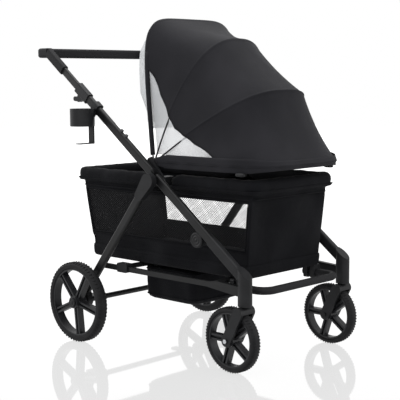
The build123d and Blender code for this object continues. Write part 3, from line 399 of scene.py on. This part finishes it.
def cloth(name, colour, crest_painted_light, pitch, crease, shine):
    """Woven cloth: a slanted weave at its thread pitch over soft creases. Its colour is painted shade and light,
    darker in the crease hollows and paler on the crests, with a faint real tone from the weave.
    """
    made = Finish(name, Sheen_Weight=shine, Sheen_Roughness=0.45, Specular_IOR_Level=2 * shine)
    x, y, z = made.place()
    weave = (x + y).wave(pitch) * (z + 0.6 * (x - y)).wave(pitch)
    folds_and_crease_shade = made.noise(7, 3, 0.45, (1, 1, 0.7))
    # The creases' own height picks the colour: painted shade in their hollows, painted light on their crests, and a
    # faint woven tone.
    made.vary(Base_Color=made.colours((folds_and_crease_shade + weave * 0.08).ramp(0.3, 0.75), colour, crest_painted_light),
              Roughness=0.72 + weave * 0.06)
    made.relief(weave * 0.00012 + folds_and_crease_shade * crease, 0.8)
    return made


basket_cloth = cloth("basket_cloth", BASKET_CLOTH, BASKET_CLOTH_PAINTED_CREST_LIGHT, 0.0014, 0.010, 0.02)


def skin(name, rows, finish, loop=False, caps=False):
    """A piece whose surface runs through rows of points. With loop each row closes on itself, and caps closes
    the first and last rows."""
    count = len(rows[0])
    points = [point for row in rows for point in row]
    faces = []
    for row in range(len(rows) - 1):
        for step in range(count if loop else count - 1):
            near = row * count + step
            far = row * count + (step + 1) % count
            faces.append((near, far, far + count, near + count))
    if caps:
        faces.append(tuple(reversed(range(count))))
        faces.append(tuple(range(len(points) - count, len(points))))
    return add_piece(name, points, faces, finish)


def thicken(piece, amount):
    """Gives a sheet its cloth thickness, inward from its face, and fixes it into the mesh."""
    solid = piece.modifiers.new("thickness", "SOLIDIFY")
    solid.thickness = amount
    solid.offset = -1
    made = bpy.data.meshes.new_from_object(piece.evaluated_get(bpy.context.evaluated_depsgraph_get()))
    piece.modifiers.clear()
    piece.data = made
    return piece


def cording(name, route, radius, finish, closed=False, corners=8):
    """A round cord of cloth sewn along a route of points."""
    rows = []
    count = len(route)
    for place, point in enumerate(route):
        before = route[(place - 1) % count] if closed or place else point
        after = route[(place + 1) % count] if closed or place < count - 1 else point
        along = (after - before).normalized()
        side = along.cross(Vector((0, 0, 1)))
        if side.length < 0.05:
            side = along.cross(Vector((1, 0, 0)))
        side.normalize()
        lift = side.cross(along)
        rows.append([point + radius * (cos(2 * pi * c / corners) * side + sin(2 * pi * c / corners) * lift)
                     for c in range(corners)])
    if closed:
        rows.append(rows[0])
    return skin(name, rows, finish, loop=True, caps=not closed)


# Basket: a tub of cloth sewn from four wall panels and a base, hung from the rim. The long walls have a net
# window each. The walls hang a little slack between the seams, and a wide hem runs round the base.
low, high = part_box("basket_shell")
BASE_Z = low.z
low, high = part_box("floor_board")
BASE_REAR, BASE_FRONT, BASE_HALF = low.x - 0.008, high.x + 0.008, high.y + 0.008
low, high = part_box("rim_tube")
RIM_BAR = 0.008
RIM_Z = (low.z + high.z) / 2
RIM_REAR, RIM_FRONT, RIM_HALF = low.x + RIM_BAR, high.x - RIM_BAR, high.y - RIM_BAR
CORNER = 0.006
CORNER_STEPS = 5
low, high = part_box("window_right")
WINDOW_LOW, WINDOW_HIGH = low.z, high.z
WINDOW_MARGIN = 0.013
WALL_TOP = RIM_Z - 0.006
SLACK = 0.0045
UNDER_RIM = 0.002


def wall_limits(z):
    """Rear, front and half width of the tub at a height."""
    share = (z - BASE_Z) / (RIM_Z - BASE_Z)
    return (BASE_REAR + (RIM_REAR + UNDER_RIM - BASE_REAR) * share,
            BASE_FRONT + (RIM_FRONT - UNDER_RIM - BASE_FRONT) * share,
            BASE_HALF + (RIM_HALF - UNDER_RIM - BASE_HALF) * share)


def spread(first, last, count):
    """Evenly spread values, both ends among them."""
    return [first + (last - first) * step / (count - 1) for step in range(count)]


def tub_loop(z, out=0.0, inset=0.0, corner=CORNER):
    """Points round the tub at a height, counter-clockwise from the right wall's rear end."""
    rear, front, half = wall_limits(z)
    rear, front, half = rear - out + inset, front + out - inset, half + out - inset
    window_rear, window_front = rear + WINDOW_MARGIN, front - WINDOW_MARGIN
    stations = [rear + corner] + spread(window_rear, window_front, 33) + [front - corner]
    points = [Vector((x, -half, z)) for x in stations]
    for step in range(1, CORNER_STEPS):
        angle = -pi / 2 + pi / 2 * step / CORNER_STEPS
        points.append(Vector((front - corner + corner * cos(angle),
                              -half + corner + corner * sin(angle), z)))
    ends = spread(-half + corner, half - corner, 15)
    points += [Vector((front, y, z)) for y in ends]
    for step in range(1, CORNER_STEPS):
        angle = pi / 2 * step / CORNER_STEPS
        points.append(Vector((front - corner + corner * cos(angle),
                              half - corner + corner * sin(angle), z)))
    points += [Vector((x, half, z)) for x in reversed(stations)]
    for step in range(1, CORNER_STEPS):
        angle = pi / 2 + pi / 2 * step / CORNER_STEPS
        points.append(Vector((rear + corner + corner * cos(angle),
                              half - corner + corner * sin(angle), z)))
    points += [Vector((rear, y, z)) for y in reversed(ends)]
    for step in range(1, CORNER_STEPS):
        angle = pi + pi / 2 * step / CORNER_STEPS
        points.append(Vector((rear + corner + corner * cos(angle),
                              -half + corner + corner * sin(angle), z)))
    return points


def slacken(point, z):
    """Moves a wall point in or out with the cloth's soft waves, and holds the seams and windows."""
    held = min(1.0, abs(z - BASE_Z) / 0.05, abs(RIM_Z - z) / 0.05)
    if abs(point.y) > BASE_HALF - 0.01 and z > WINDOW_LOW - 0.02:
        held *= 0.15
    middle = Vector(((BASE_REAR + BASE_FRONT) / 2, 0, z))
    away = point - middle
    waves = (sin(21 * point.x + 17 * point.y + 9 * z) + 0.7 * sin(34 * point.y - 26 * z + 1.3)
             + 0.5 * sin(47 * point.x + 15 * z + 0.4) - 0.2)
    direction = Vector((0, away.y, 0)) if abs(away.y) > BASE_HALF - 0.02 else Vector((away.x, 0, 0))
    return point + direction.normalized() * SLACK * held * waves


levels = (spread(WALL_TOP, WINDOW_HIGH, 4) + spread(WINDOW_HIGH, WINDOW_LOW, 9)[1:]
          + spread(WINDOW_LOW, BASE_Z + 0.012, 7)[1:])
rows = [[slacken(point, z) for point in tub_loop(z)] for z in levels]
rows.append(tub_loop(BASE_Z + 0.004, inset=0.003))
rows.append(tub_loop(BASE_Z, inset=0.012))
count = len(rows[0])
points = [point for row in rows for point in row]
faces = []
for row in range(len(rows) - 1):
    for step in range(count):
        near, far = row * count + step, row * count + (step + 1) % count
        corners = (near, near + count, far + count, far)
        middle = sum((points[corner] for corner in corners), Vector()) / 4
        rear, front, half = wall_limits(middle.z)
        in_window = (abs(middle.y) > BASE_HALF - 0.012 and WINDOW_LOW < middle.z < WINDOW_HIGH
                     and rear + WINDOW_MARGIN < middle.x < front - WINDOW_MARGIN)
        if not in_window:
            faces.append(corners)
faces.append(tuple(reversed(range(len(points) - count, len(points)))))
tub = add_piece("basket_tub", points, faces, basket_cloth)
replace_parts(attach(tub, "chassis"), "basket_shell")

hem_rows = [[slacken(point, z) for point in tub_loop(z, out=out)]
            for z, out in ((BASE_Z + 0.040, 0.0006), (BASE_Z + 0.038, 0.0034), (BASE_Z + 0.024, 0.004),
                           (BASE_Z + 0.010, 0.0036), (BASE_Z + 0.002, 0.001), (BASE_Z - 0.0015, -0.006))]
hem = skin("basket_hem", [list(reversed(row)) for row in hem_rows], basket_cloth, loop=True)
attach(hem, "chassis")
for name, z, proud, radius in (("basket_hem_seam", BASE_Z + 0.040, 0.0016, 0.0011),
                               ("basket_hem_stitch", BASE_Z + 0.031, 0.0040, 0.0006)):
    route = [slacken(point, z) for point in tub_loop(z, out=proud)]
    seam = cording(name, route, radius, basket_cloth, closed=True)
    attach(seam, "chassis")
for hand, side in SIDES.items():
    for end in ("rear", "front"):
        route = []
        for z in spread(RIM_Z - 0.05, BASE_Z + 0.04, 16):
            rear, front, half = wall_limits(z)
            x = rear + CORNER if end == "rear" else front - CORNER * 0.7
            route.append(slacken(Vector((x, side * (half + 0.001), z)), z))
        seam = cording("corner_seam_%s_%s" % (end, hand), route, 0.0013, basket_cloth)
        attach(seam, "chassis")
    z = WINDOW_LOW - 0.006
    rear, front, half = wall_limits(z)
    route = [slacken(Vector((x, side * (half + 0.0008), z)), z)
             for x in spread(rear + CORNER, front - CORNER, 40)]
    seam = cording("wall_seam_" + hand, route, 0.0012, basket_cloth)
    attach(seam, "chassis")


# Windows: open knotted net, dark, stretched behind a bound edge in each long wall. Each cell is a long
# diamond about 10 mm by 8 mm, and most of it is air.
NET_THREAD = (0.006, 0.006, 0.007)
NET_PALE = (0.012, 0.012, 0.0135)
NET_WIDE = 0.010
NET_TALL = 0.008

net = Finish("window_net", Base_Color=(*NET_THREAD, 1), Roughness=0.6, Specular_IOR_Level=0.3)
x, y, z = net.place()
slant = x / NET_WIDE
rise = z / NET_TALL
thread = (slant + rise).wave(2).size()
other = (slant - rise).wave(2).size()
nearest = thread.maths("MINIMUM", thread, other)
net.vary(Alpha=1 - nearest.ramp(0.16, 0.30), Base_Color=net.colours(net.noise(60), NET_THREAD, NET_PALE))

for hand, side in SIDES.items():
    rows = []
    for z in spread(WINDOW_HIGH + 0.003, WINDOW_LOW - 0.003, 9):
        rear, front, half = wall_limits(z)
        row = []
        for share in spread(0, 1, 40):
            x = rear + WINDOW_MARGIN - 0.003 + (front - rear - 2 * WINDOW_MARGIN + 0.006) * share
            row.append(Vector((x, side * (half - 0.0012 - 0.003 * sin(pi * share)), z)))
        rows.append(row)
    panel = skin("window_panel_" + hand, rows, net)
    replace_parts(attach(panel, "chassis"), "window_" + hand)
    rear_high, front_high, half = wall_limits(WINDOW_HIGH)
    rear_low, front_low, half = wall_limits(WINDOW_LOW)
    corners = [(rear_high + WINDOW_MARGIN, WINDOW_HIGH), (front_high - WINDOW_MARGIN, WINDOW_HIGH),
               (front_low - WINDOW_MARGIN, WINDOW_LOW), (rear_low + WINDOW_MARGIN, WINDOW_LOW)]
    route = []
    for (x1, z1), (x2, z2) in zip(corners, corners[1:] + corners[:1]):
        for x, z in zip(spread(x1, x2, 13)[:-1], spread(z1, z2, 13)[:-1]):
            route.append(Vector((x, side * (wall_limits(z)[2] + 0.0008), z)))
    binding = cording("window_binding_" + hand, route, 0.0022, basket_cloth, closed=True)
    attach(binding, "chassis")


# Padded rim: foam wrapped in the basket's cloth round a bent tube, in a front and a rear length that stop
# short of the frame's joints. A flap with a corded edge hangs under it and closes over the walls.
ROLL_HALF_HIGH = 0.0225
ROLL_HALF_DEEP = 0.0195
ROLL_CORNER = 0.026
ROLL_ROUND = 18
FLAP_DROP = 0.040
STITCH_DROP = 0.0200
STITCH_OUT = 0.0130


def rim_route(gap, end, half, step=0.012):
    """Points from the gap on the right side round the end to the gap on the left side."""
    turn = 1 if end > gap else -1
    corner = ROLL_CORNER
    along = spread(gap, end - turn * corner, max(3, int(abs(end - gap) / step)))
    route = [Vector((x, -half, RIM_Z)) for x in along]
    for place in range(1, 8):
        angle = pi / 2 * place / 8
        route.append(Vector((end - turn * corner + turn * corner * sin(angle),
                             -half + corner - corner * cos(angle), RIM_Z)))
    across = [Vector((end, y, RIM_Z)) for y in spread(-half + corner, half - corner, 24)]
    return route + across + [Vector((point.x, -point.y, point.z)) for point in reversed(route)]


def pad_section(point, along, place, total, size):
    """One cross-section of the padded rim: an oval, fuller outside, with soft creases along it."""
    out = along.cross(Vector((0, 0, 1))).normalized()
    from_end = min(place, total - 1 - place)
    taper = min(1.0, (0.25 + from_end / 3) ** 0.5) if from_end < 3 else 1.0
    ring = []
    for corner in range(ROLL_ROUND):
        angle = 2 * pi * corner / ROLL_ROUND
        wave = 1 + 0.035 * sin(58 * point.x + 3 * angle) * sin(41 * point.y + 2 * angle + 0.7) \
                 + 0.02 * sin(131 * (point.x + point.y) + angle)
        deep = size[0] * taper * wave * abs(cos(angle)) ** 0.85 * (1 if cos(angle) > 0 else -1)
        high = size[1] * taper * wave * abs(sin(angle)) ** 0.85 * (1 if sin(angle) > 0 else -1)
        ring.append(point + out * deep + Vector((0, 0, high)))
    return ring


rolls = {"rear": (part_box("rim_roll_rear")[1].x, RIM_REAR),
         "front": (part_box("rim_roll_front")[0].x, RIM_FRONT)}
for end_name, (gap, end) in rolls.items():
    route = rim_route(gap, end, RIM_HALF)
    total = len(route)
    rows = []
    for place, point in enumerate(route):
        along = (route[min(place + 1, total - 1)] - route[max(place - 1, 0)]).normalized()
        rows.append(pad_section(point, along, place, total, (ROLL_HALF_DEEP, ROLL_HALF_HIGH)))
    roll = skin("rim_pad_" + end_name, rows, basket_cloth, loop=True, caps=True)
    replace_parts(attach(roll, "chassis"), "rim_roll_" + end_name, "rim_tube")

    flap_rows = []
    for drop, out in ((0.012, 0.0180), (0.019, 0.0135), (0.025, 0.0010), (0.032, -0.0018),
                      (FLAP_DROP, -0.0006)):
        wide = rim_route(gap, end + (out if end > gap else -out), RIM_HALF + out)
        flap_rows.append([point - Vector((0, 0, drop)) for point in wide])
    flap = skin("rim_flap_" + end_name, flap_rows, basket_cloth)
    flap = thicken(flap, 0.0016)
    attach(flap, "chassis")
    hem_route = [point - Vector((0, 0, FLAP_DROP)) for point in rim_route(gap, end, RIM_HALF)]
    cord = cording("rim_cord_" + end_name, hem_route, 0.0026, basket_cloth)
    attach(cord, "chassis")
    seam_end = end + (STITCH_OUT if end > gap else -STITCH_OUT)
    stitch_route = [point - Vector((0, 0, STITCH_DROP))
                    for point in rim_route(gap, seam_end, RIM_HALF + STITCH_OUT)]
    cord = cording("rim_seam_" + end_name, stitch_route, 0.0012, basket_cloth)
    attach(cord, "chassis")


# Cabin floor: a stiff board with a thin quilted pad on it, in the basket's cloth.
low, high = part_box("floor_board")
PAD_THICK = 0.014
PAD_CELL = 0.105
finish_nodes(basket_cloth, "floor_board")
rows = []
for x in spread(low.x + 0.006, high.x - 0.006, 71):
    row = []
    for y in spread(low.y + 0.006, high.y - 0.006, 37):
        edge = min(x - low.x, high.x - x, y - low.y, high.y - y)
        swell = (1 - min(1, edge / 0.03)) ** 2
        quilt = min(abs(sin(pi * (x - low.x) / PAD_CELL)), abs(sin(pi * y / PAD_CELL))) ** 0.5
        row.append(Vector((x, y, high.z + PAD_THICK * (1 - swell) * (0.55 + 0.45 * quilt))))
    rows.append(row)
pad = skin("floor_pad", [list(reversed(row)) for row in rows], basket_cloth)
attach(pad, "chassis")


# Canopy frame: four sprung steel bows in dark coating, all turning on one hub each side, which a round
# cap covers.
EYE = 0.009
low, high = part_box("bow_front")
HUB = Vector((low.x + EYE, 0, low.z + EYE))
BOW_COAT = (0.012, 0.012, 0.013)
BOW_COAT_PALE = (0.02, 0.02, 0.022)

coat = Finish("bow_coat", Specular_IOR_Level=0.3)
coat.vary(Base_Color=coat.colours(coat.noise(120), BOW_COAT, BOW_COAT_PALE), Roughness=0.34)
finish_nodes(coat, "bow_")
for hand, side in SIDES.items():
    cap = turned("canopy_hub_" + hand, (HUB.x, side * (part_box("bow_rear")[1].y + 0.005), HUB.z), side,
                 [(0.0145, -0.004), (0.0145, 0.0005), (0.013, 0.0025), (0.0095, 0.0032), (0.0088, 0.0024),
                  (0.0062, 0.0024), (0.0055, 0.0034), (0.001, 0.0038)], nylon)
    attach(cap, "chassis")


# Canopy cover: one continuous sheet of charcoal polyester, sewn to welts over the four bows and drawn
# tight between them. Its side edges are cut in a curve, and a bound hem runs along them.
CANOPY_CLOTH = (0.0095, 0.0095, 0.0115)
# The paler tone is painted light on the crests of the canopy cloth's creases, against painted shade in their
# hollows.
CANOPY_CLOTH_PAINTED_CREST_LIGHT = (0.0150, 0.0148, 0.0175)
REAR_ANGLE = 95.3
COVER_HALF = 0.229
COVER_OVER = 0.005
# Each bow from front to rear: its angle up from level, its reach from the hub, and how square it is
BOW_SHAPES = ((0.0, 0.473, 0.39), (31.3, 0.441, 0.72), (66.0, 0.432, 0.80), (REAR_ANGLE, 0.468, 0.35))
BOW_FINE = 240
# The cut edge of the cover: its angle up from level and its distance from the hub
EDGE_CURVE = ((0.0, 0.300), (5.7, 0.264), (17.9, 0.198), (32.2, 0.165), (48.0, 0.147), (63.7, 0.161), (81.0, 0.214),
              (88.4, 0.272), (REAR_ANGLE, 0.312))
COVER_ACROSS = 72
WELT = 0.0022
SAG = 0.010

canopy_cloth = cloth("canopy_cloth", CANOPY_CLOTH, CANOPY_CLOTH_PAINTED_CREST_LIGHT, 0.0012, 0.006, 0.035)


def between(table, value):
    """Reads a table of (key, value) pairs with straight lines between its entries."""
    for (key1, value1), (key2, value2) in zip(table, table[1:]):
        if value <= key2:
            share = max(0.0, (value - key1) / (key2 - key1))
            return value1 + (value2 - value1) * share
    return table[-1][1]


def even_route(route, count):
    """The same route with its points evenly spaced."""
    lengths = [0.0]
    for first, second in zip(route, route[1:]):
        lengths.append(lengths[-1] + (second - first).length)
    made = []
    place = 0
    for step in range(count):
        target = lengths[-1] * step / (count - 1)
        while place < len(route) - 2 and lengths[place + 1] < target:
            place += 1
        span = lengths[place + 1] - lengths[place]
        made.append(route[place].lerp(route[place + 1], (target - lengths[place]) / span if span else 0))
    return made


def bow_route(angle, reach, roundness, half):
    """Points over one bow from its right foot at the hub to its left foot."""
    up = Vector((cos(radians(angle)), 0, sin(radians(angle))))
    route = []
    for step in range(BOW_FINE + 1):
        share = step / BOW_FINE
        turn = pi * (share - sin(2 * pi * share) / (2 * pi) * 0.9)
        across = abs(cos(turn)) ** roundness * (-1 if turn < pi / 2 else 1)
        route.append(HUB + up * reach * max(sin(turn), 0) ** roundness + Vector((0, half * across, 0)))
    return even_route(route, BOW_FINE + 1)


arcs = [bow_route(angle, reach + COVER_OVER, roundness, COVER_HALF) for angle, reach, roundness in BOW_SHAPES]


def canopy_arc(share):
    """The cloth's line over the canopy at a share of the way from the front bow (0) to the rear bow (3)."""
    first = min(int(share), 2)
    step = share - first
    slack = 4 * step * (1 - step) * SAG
    line = []
    for near, far in zip(arcs[first], arcs[first + 1]):
        point = near.lerp(far, step)
        away = point - HUB
        line.append(HUB + away * (1 - slack * away.length / 0.45 / 0.45))
    return line


def from_hub(point):
    return hypot(point.x - HUB.x, point.z - HUB.z)


def hub_angle(point):
    return atan2(point.z - HUB.z, point.x - HUB.x) * 180 / pi


def upright_share(line, distance):
    """How far along a canopy line, in points, its right upright is at a distance from the hub."""
    for place in range(1, BOW_FINE // 2):
        if from_hub(line[place]) >= distance:
            near, far = from_hub(line[place - 1]), from_hub(line[place])
            return place - 1 + (distance - near) / max(far - near, 1e-6)
    return BOW_FINE // 2


def at_share(line, share):
    place = min(int(share), len(line) - 2)
    return line[place].lerp(line[place + 1], share - place)


def line_between(line, first, last, count):
    return [at_share(line, share) for share in spread(first, last, count)]


shares = []
for interval in range(3):
    shares += [interval + step for step in (0, 0.018, 0.04, 0.12, 0.24, 0.38, 0.5, 0.62, 0.76, 0.88, 0.96, 0.982)]
shares.append(3)
rows = []
edges = {"right": [], "left": []}
for share in shares:
    line = canopy_arc(share)
    angle = hub_angle(line[30])
    start = upright_share(line, between(EDGE_CURVE, angle))
    row = line_between(line, start, BOW_FINE - start, COVER_ACROSS)
    if share == int(share):
        row = [HUB + (point - HUB) * (1 + WELT / 0.45) for point in row]
    rows.append(row)
    edges["right"].append(row[0])
    edges["left"].append(row[-1])
rear_turn = Matrix.Rotation(radians(-1.6), 3, "Y")
rows.append([HUB + rear_turn @ ((point - HUB) * 0.985) for point in rows[-1]])
cover = thicken(skin("canopy_sheet", rows, canopy_cloth), 0.0014)
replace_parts(cover, "canopy_cover")
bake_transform(cover)
for hand in SIDES:
    edge = cording("canopy_edge_" + hand, edges[hand], 0.0018, canopy_cloth)
    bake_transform(edge)


# Canopy skirt: a doubled band of the same cloth round the front bow. It hangs past the rim's pads at the
# sides and ends in a stiff lip over the opening.
SKIRT_TOP = 0.024
SKIRT_DROP = 0.021
SKIRT_LIP = 0.004

skirt_line = bow_route(0.0, 0.473, 0.39, COVER_HALF)
skirt_from = upright_share(skirt_line, 0.016)
skirt_rows = []
for height, out in ((SKIRT_TOP, 0.0005), (0.016, 0.0018), (0.006, 0.0034), (0.001, 0.0038), (-0.001, 0.0028),
                    (-0.010, 0.0026), (-0.0185, 0.0032), (-SKIRT_DROP, 0.0022), (-SKIRT_DROP, 0.0004)):
    row = []
    for point in line_between(skirt_line, skirt_from, BOW_FINE - skirt_from, 150):
        forward = min(1.0, max(0.0, (point.x - HUB.x) / 0.48))
        front = max(0.0, (forward - 0.85) / 0.15)
        drop = height if height > 0 else height * (1 - 0.45 * front)
        lift = drop * (0.35 + 0.65 * min(1.0, forward * 7)) * (1 - 0.35 * front * (height > 0))
        away = Vector((point.x - HUB.x, point.y * 0.9, 0)).normalized()
        flare = SKIRT_LIP * front * max(0.0, 1 - abs(height - 0.002) / 0.014)
        ripple = 0.0012 * sin(70 * point.x + 50 * point.y) * (height < 0)
        row.append(Vector((point.x, point.y, HUB.z + lift)) + away * (out + flare + ripple))
    skirt_rows.append(row)
skirt = thicken(skin("canopy_skirt", skirt_rows, canopy_cloth), -0.0012)
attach(skirt, "canopy_front")
stitches = [at_share(skirt_line, share) for share in spread(skirt_from + 1, BOW_FINE - skirt_from - 1, 150)]
stitches = [Vector((point.x, point.y, HUB.z - 0.0015))
            + Vector((point.x - HUB.x, point.y * 0.9, 0)).normalized() * 0.0038 for point in stitches]
seam = cording("skirt_seam", stitches, 0.0011, canopy_cloth)
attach(seam, "canopy_front")


# Canopy sides and back: fine pale mesh. The side pieces fill between the cover's cut edge and the skirt,
# and the back one stands off the rear bow in a low dome.
MESH_PALE = (0.56, 0.57, 0.585)
MESH_SHADE = (0.43, 0.44, 0.455)
MESH_PITCH = 0.0026

pale_mesh = Finish("canopy_mesh", Specular_IOR_Level=0.2, Sheen_Weight=0.1)
x, y, z = pale_mesh.place()
open_holes = (x + y).wave(MESH_PITCH) * (z + 0.5 * (x - y)).wave(MESH_PITCH)
pale_mesh.vary(Base_Color=pale_mesh.colours(pale_mesh.noise(16), MESH_SHADE, MESH_PALE), Roughness=0.8,
               Alpha=1 - 0.75 * open_holes.ramp(0.10, 0.35))

for hand, side in SIDES.items():
    rows = []
    for share in spread(0.16, 2.99, 46):
        line = canopy_arc(share)
        angle = hub_angle(line[30])
        outer = between(EDGE_CURVE, angle)
        inner = min(outer - 0.002, max(0.016, (SKIRT_TOP - 0.003) / max(sin(radians(angle)), 0.05)))
        first, last = upright_share(line, inner), upright_share(line, outer + 0.004)
        row = [HUB + (point - HUB) * 0.995 for point in line_between(line, first, last, 10)]
        rows.append([Vector((point.x, point.y * -side * (0.90 + 0.09 * (place / 9) ** 3), point.z))
                     for place, point in enumerate(row)])
    side_mesh = skin("canopy_side_" + hand, rows, pale_mesh)
    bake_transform(side_mesh)
    sleeve_line = bow_route(REAR_ANGLE, 0.468, 0.35, 0.2245)
    route = line_between(sleeve_line, upright_share(sleeve_line, 0.020), upright_share(sleeve_line, 0.36), 24)
    route = [Vector((point.x, point.y * -side, point.z)) for point in route]
    sleeve = cording("bow_sleeve_" + hand, route, 0.0082, canopy_cloth, corners=12)
    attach(sleeve, "canopy_back")

SCREEN_EDGE = 0.221
SCREEN_BASE = 0.108
SCREEN_REACH = 0.466
SCREEN_DEEP = 0.110
SCREEN_RINGS = (0, 0.15, 0.3, 0.45, 0.6, 0.72, 0.82, 0.9, 0.955, 0.985, 0.997, 0.9998)
rows = []
up = Vector((cos(radians(REAR_ANGLE)), 0, sin(radians(REAR_ANGLE))))
back = Vector((-sin(radians(REAR_ANGLE)), 0, cos(radians(REAR_ANGLE))))
for share in SCREEN_RINGS:
    tuck = 0.228 * (1 - (1 - share ** 2) ** 0.25)
    edge, base, reach = SCREEN_EDGE - tuck, SCREEN_BASE + tuck, SCREEN_REACH - tuck
    ring = []
    for step in range(49):
        turn = pi * step / 48
        across = abs(cos(turn)) ** 0.42 * (-1 if turn < pi / 2 else 1) * edge
        along = base + (reach - base) * max(sin(turn), 0) ** 0.42
        height = (along - SCREEN_BASE) / (SCREEN_REACH - SCREEN_BASE)
        swell = min(1.0, 5.2 * height * (1 - height)) ** 0.9
        ring.append(HUB + up * along + Vector((0, across, 0)) + back * (0.001 + SCREEN_DEEP * share * swell))
    for step in range(1, 16):
        ring.append(ring[48].lerp(ring[0], step / 16))
    rows.append(ring)
crown = sum(rows[-1], Vector()) / len(rows[-1])
rows.append([crown.lerp(point, 0.02) for point in rows[-1]])
screen = skin("canopy_screen", rows, pale_mesh, loop=True)
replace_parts(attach(screen, "canopy_back"), "rear_screen")


# Canopy clips: two small buckles that hold the canopy's front hem to the padded rim.
CLIP_X = 0.431
CLIP_Z = 0.6150
for hand, side in SIDES.items():
    blocks = []
    faces = []
    for middle, half in (((CLIP_X, 0.2235, CLIP_Z), (0.017, 0.0045, 0.0055)),
                         ((CLIP_X + 0.006, 0.2265, CLIP_Z), (0.007, 0.0040, 0.0040))):
        first = len(blocks)
        for level in (-1, -0.7, 0.7, 1):
            shrink = 0.72 if abs(level) == 1 else 1
            for step in range(12):
                angle = 2 * pi * step / 12 + pi / 12
                px = abs(cos(angle)) ** 0.5 * (1 if cos(angle) > 0 else -1)
                pz = abs(sin(angle)) ** 0.5 * (1 if sin(angle) > 0 else -1)
                blocks.append((middle[0] + half[0] * shrink * px, side * (middle[1] + half[1] * level),
                               middle[2] + half[2] * shrink * pz))
        for level in range(3):
            for step in range(12):
                near, far = first + level * 12 + step, first + level * 12 + (step + 1) % 12
                faces.append((near, far, far + 12, near + 12))
        faces.append(tuple(range(first, first + 12)))
        faces.append(tuple(range(first + 36, first + 48)))
    clip = add_piece("canopy_clip_" + hand, blocks, faces, nylon)
    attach(clip, "chassis")


# Under-bag: a soft storage bag slung between the rails. It bellies down between its corded top and bottom
# edges.
low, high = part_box("under_bag")
BAG_CORNER = 0.03
BAG_SAG = 0.007
bag_rows = []
for depth, inset, corner in ((0.112, 0.0, 0.02), (0.104, 0.0, 0.02), (0.085, 0.0012, 0.021), (0.060, 0.0018, 0.022),
                             (0.035, 0.0008, 0.024), (0.016, 0.0006, 0.026), (0.007, 0.004, 0.03), (0.002, 0.011, 0.032),
                             (0.0, 0.022, 0.034)):
    rear, front, half = low.x + inset, high.x - inset, high.y - inset
    ring = []
    for cx, cy, start in ((front - corner, -half + corner, -90), (front - corner, half - corner, 0),
                          (rear + corner, half - corner, 90), (rear + corner, -half + corner, 180)):
        for step in range(8):
            angle = radians(start + 90 * step / 7)
            ring.append(Vector((cx + corner * cos(angle), cy + corner * sin(angle), low.z + depth)))
    fine = []
    for first, second in zip(ring, ring[1:] + ring[:1]):
        pieces = 12 if (second - first).length > 0.05 else 1
        for step in range(pieces):
            fine.append(first.lerp(second, step / pieces))
    for place, point in enumerate(fine):
        wave = (0.0022 * sin(60 * point.x + 45 * point.y + 30 * point.z)
                + 0.0012 * sin(120 * point.y - 90 * point.z))
        away = Vector((point.x - (low.x + high.x) / 2, point.y, 0)).normalized()
        belly = -BAG_SAG * (1 - depth / 0.112) * (1 - (abs(point.y) / high.y) ** 2) * 0.5
        fine[place] = point + away * wave * min(1, depth / 0.02) + Vector((0, 0, belly))
    bag_rows.append(fine)
bag = skin("storage_bag", [list(reversed(row)) for row in bag_rows], basket_cloth, loop=True, caps=True)
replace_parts(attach(bag, "chassis"), "under_bag")
for name, level, radius in (("bag_top_cord", 1, 0.0018), ("bag_base_cord", 5, 0.0016)):
    middle = Vector(((low.x + high.x) / 2, 0, 0))
    route = [point + Vector((point.x - middle.x, point.y, 0)).normalized() * 0.0012 for point in bag_rows[level]]
    seam = cording(name, route, radius, basket_cloth, closed=True)
    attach(seam, "chassis")
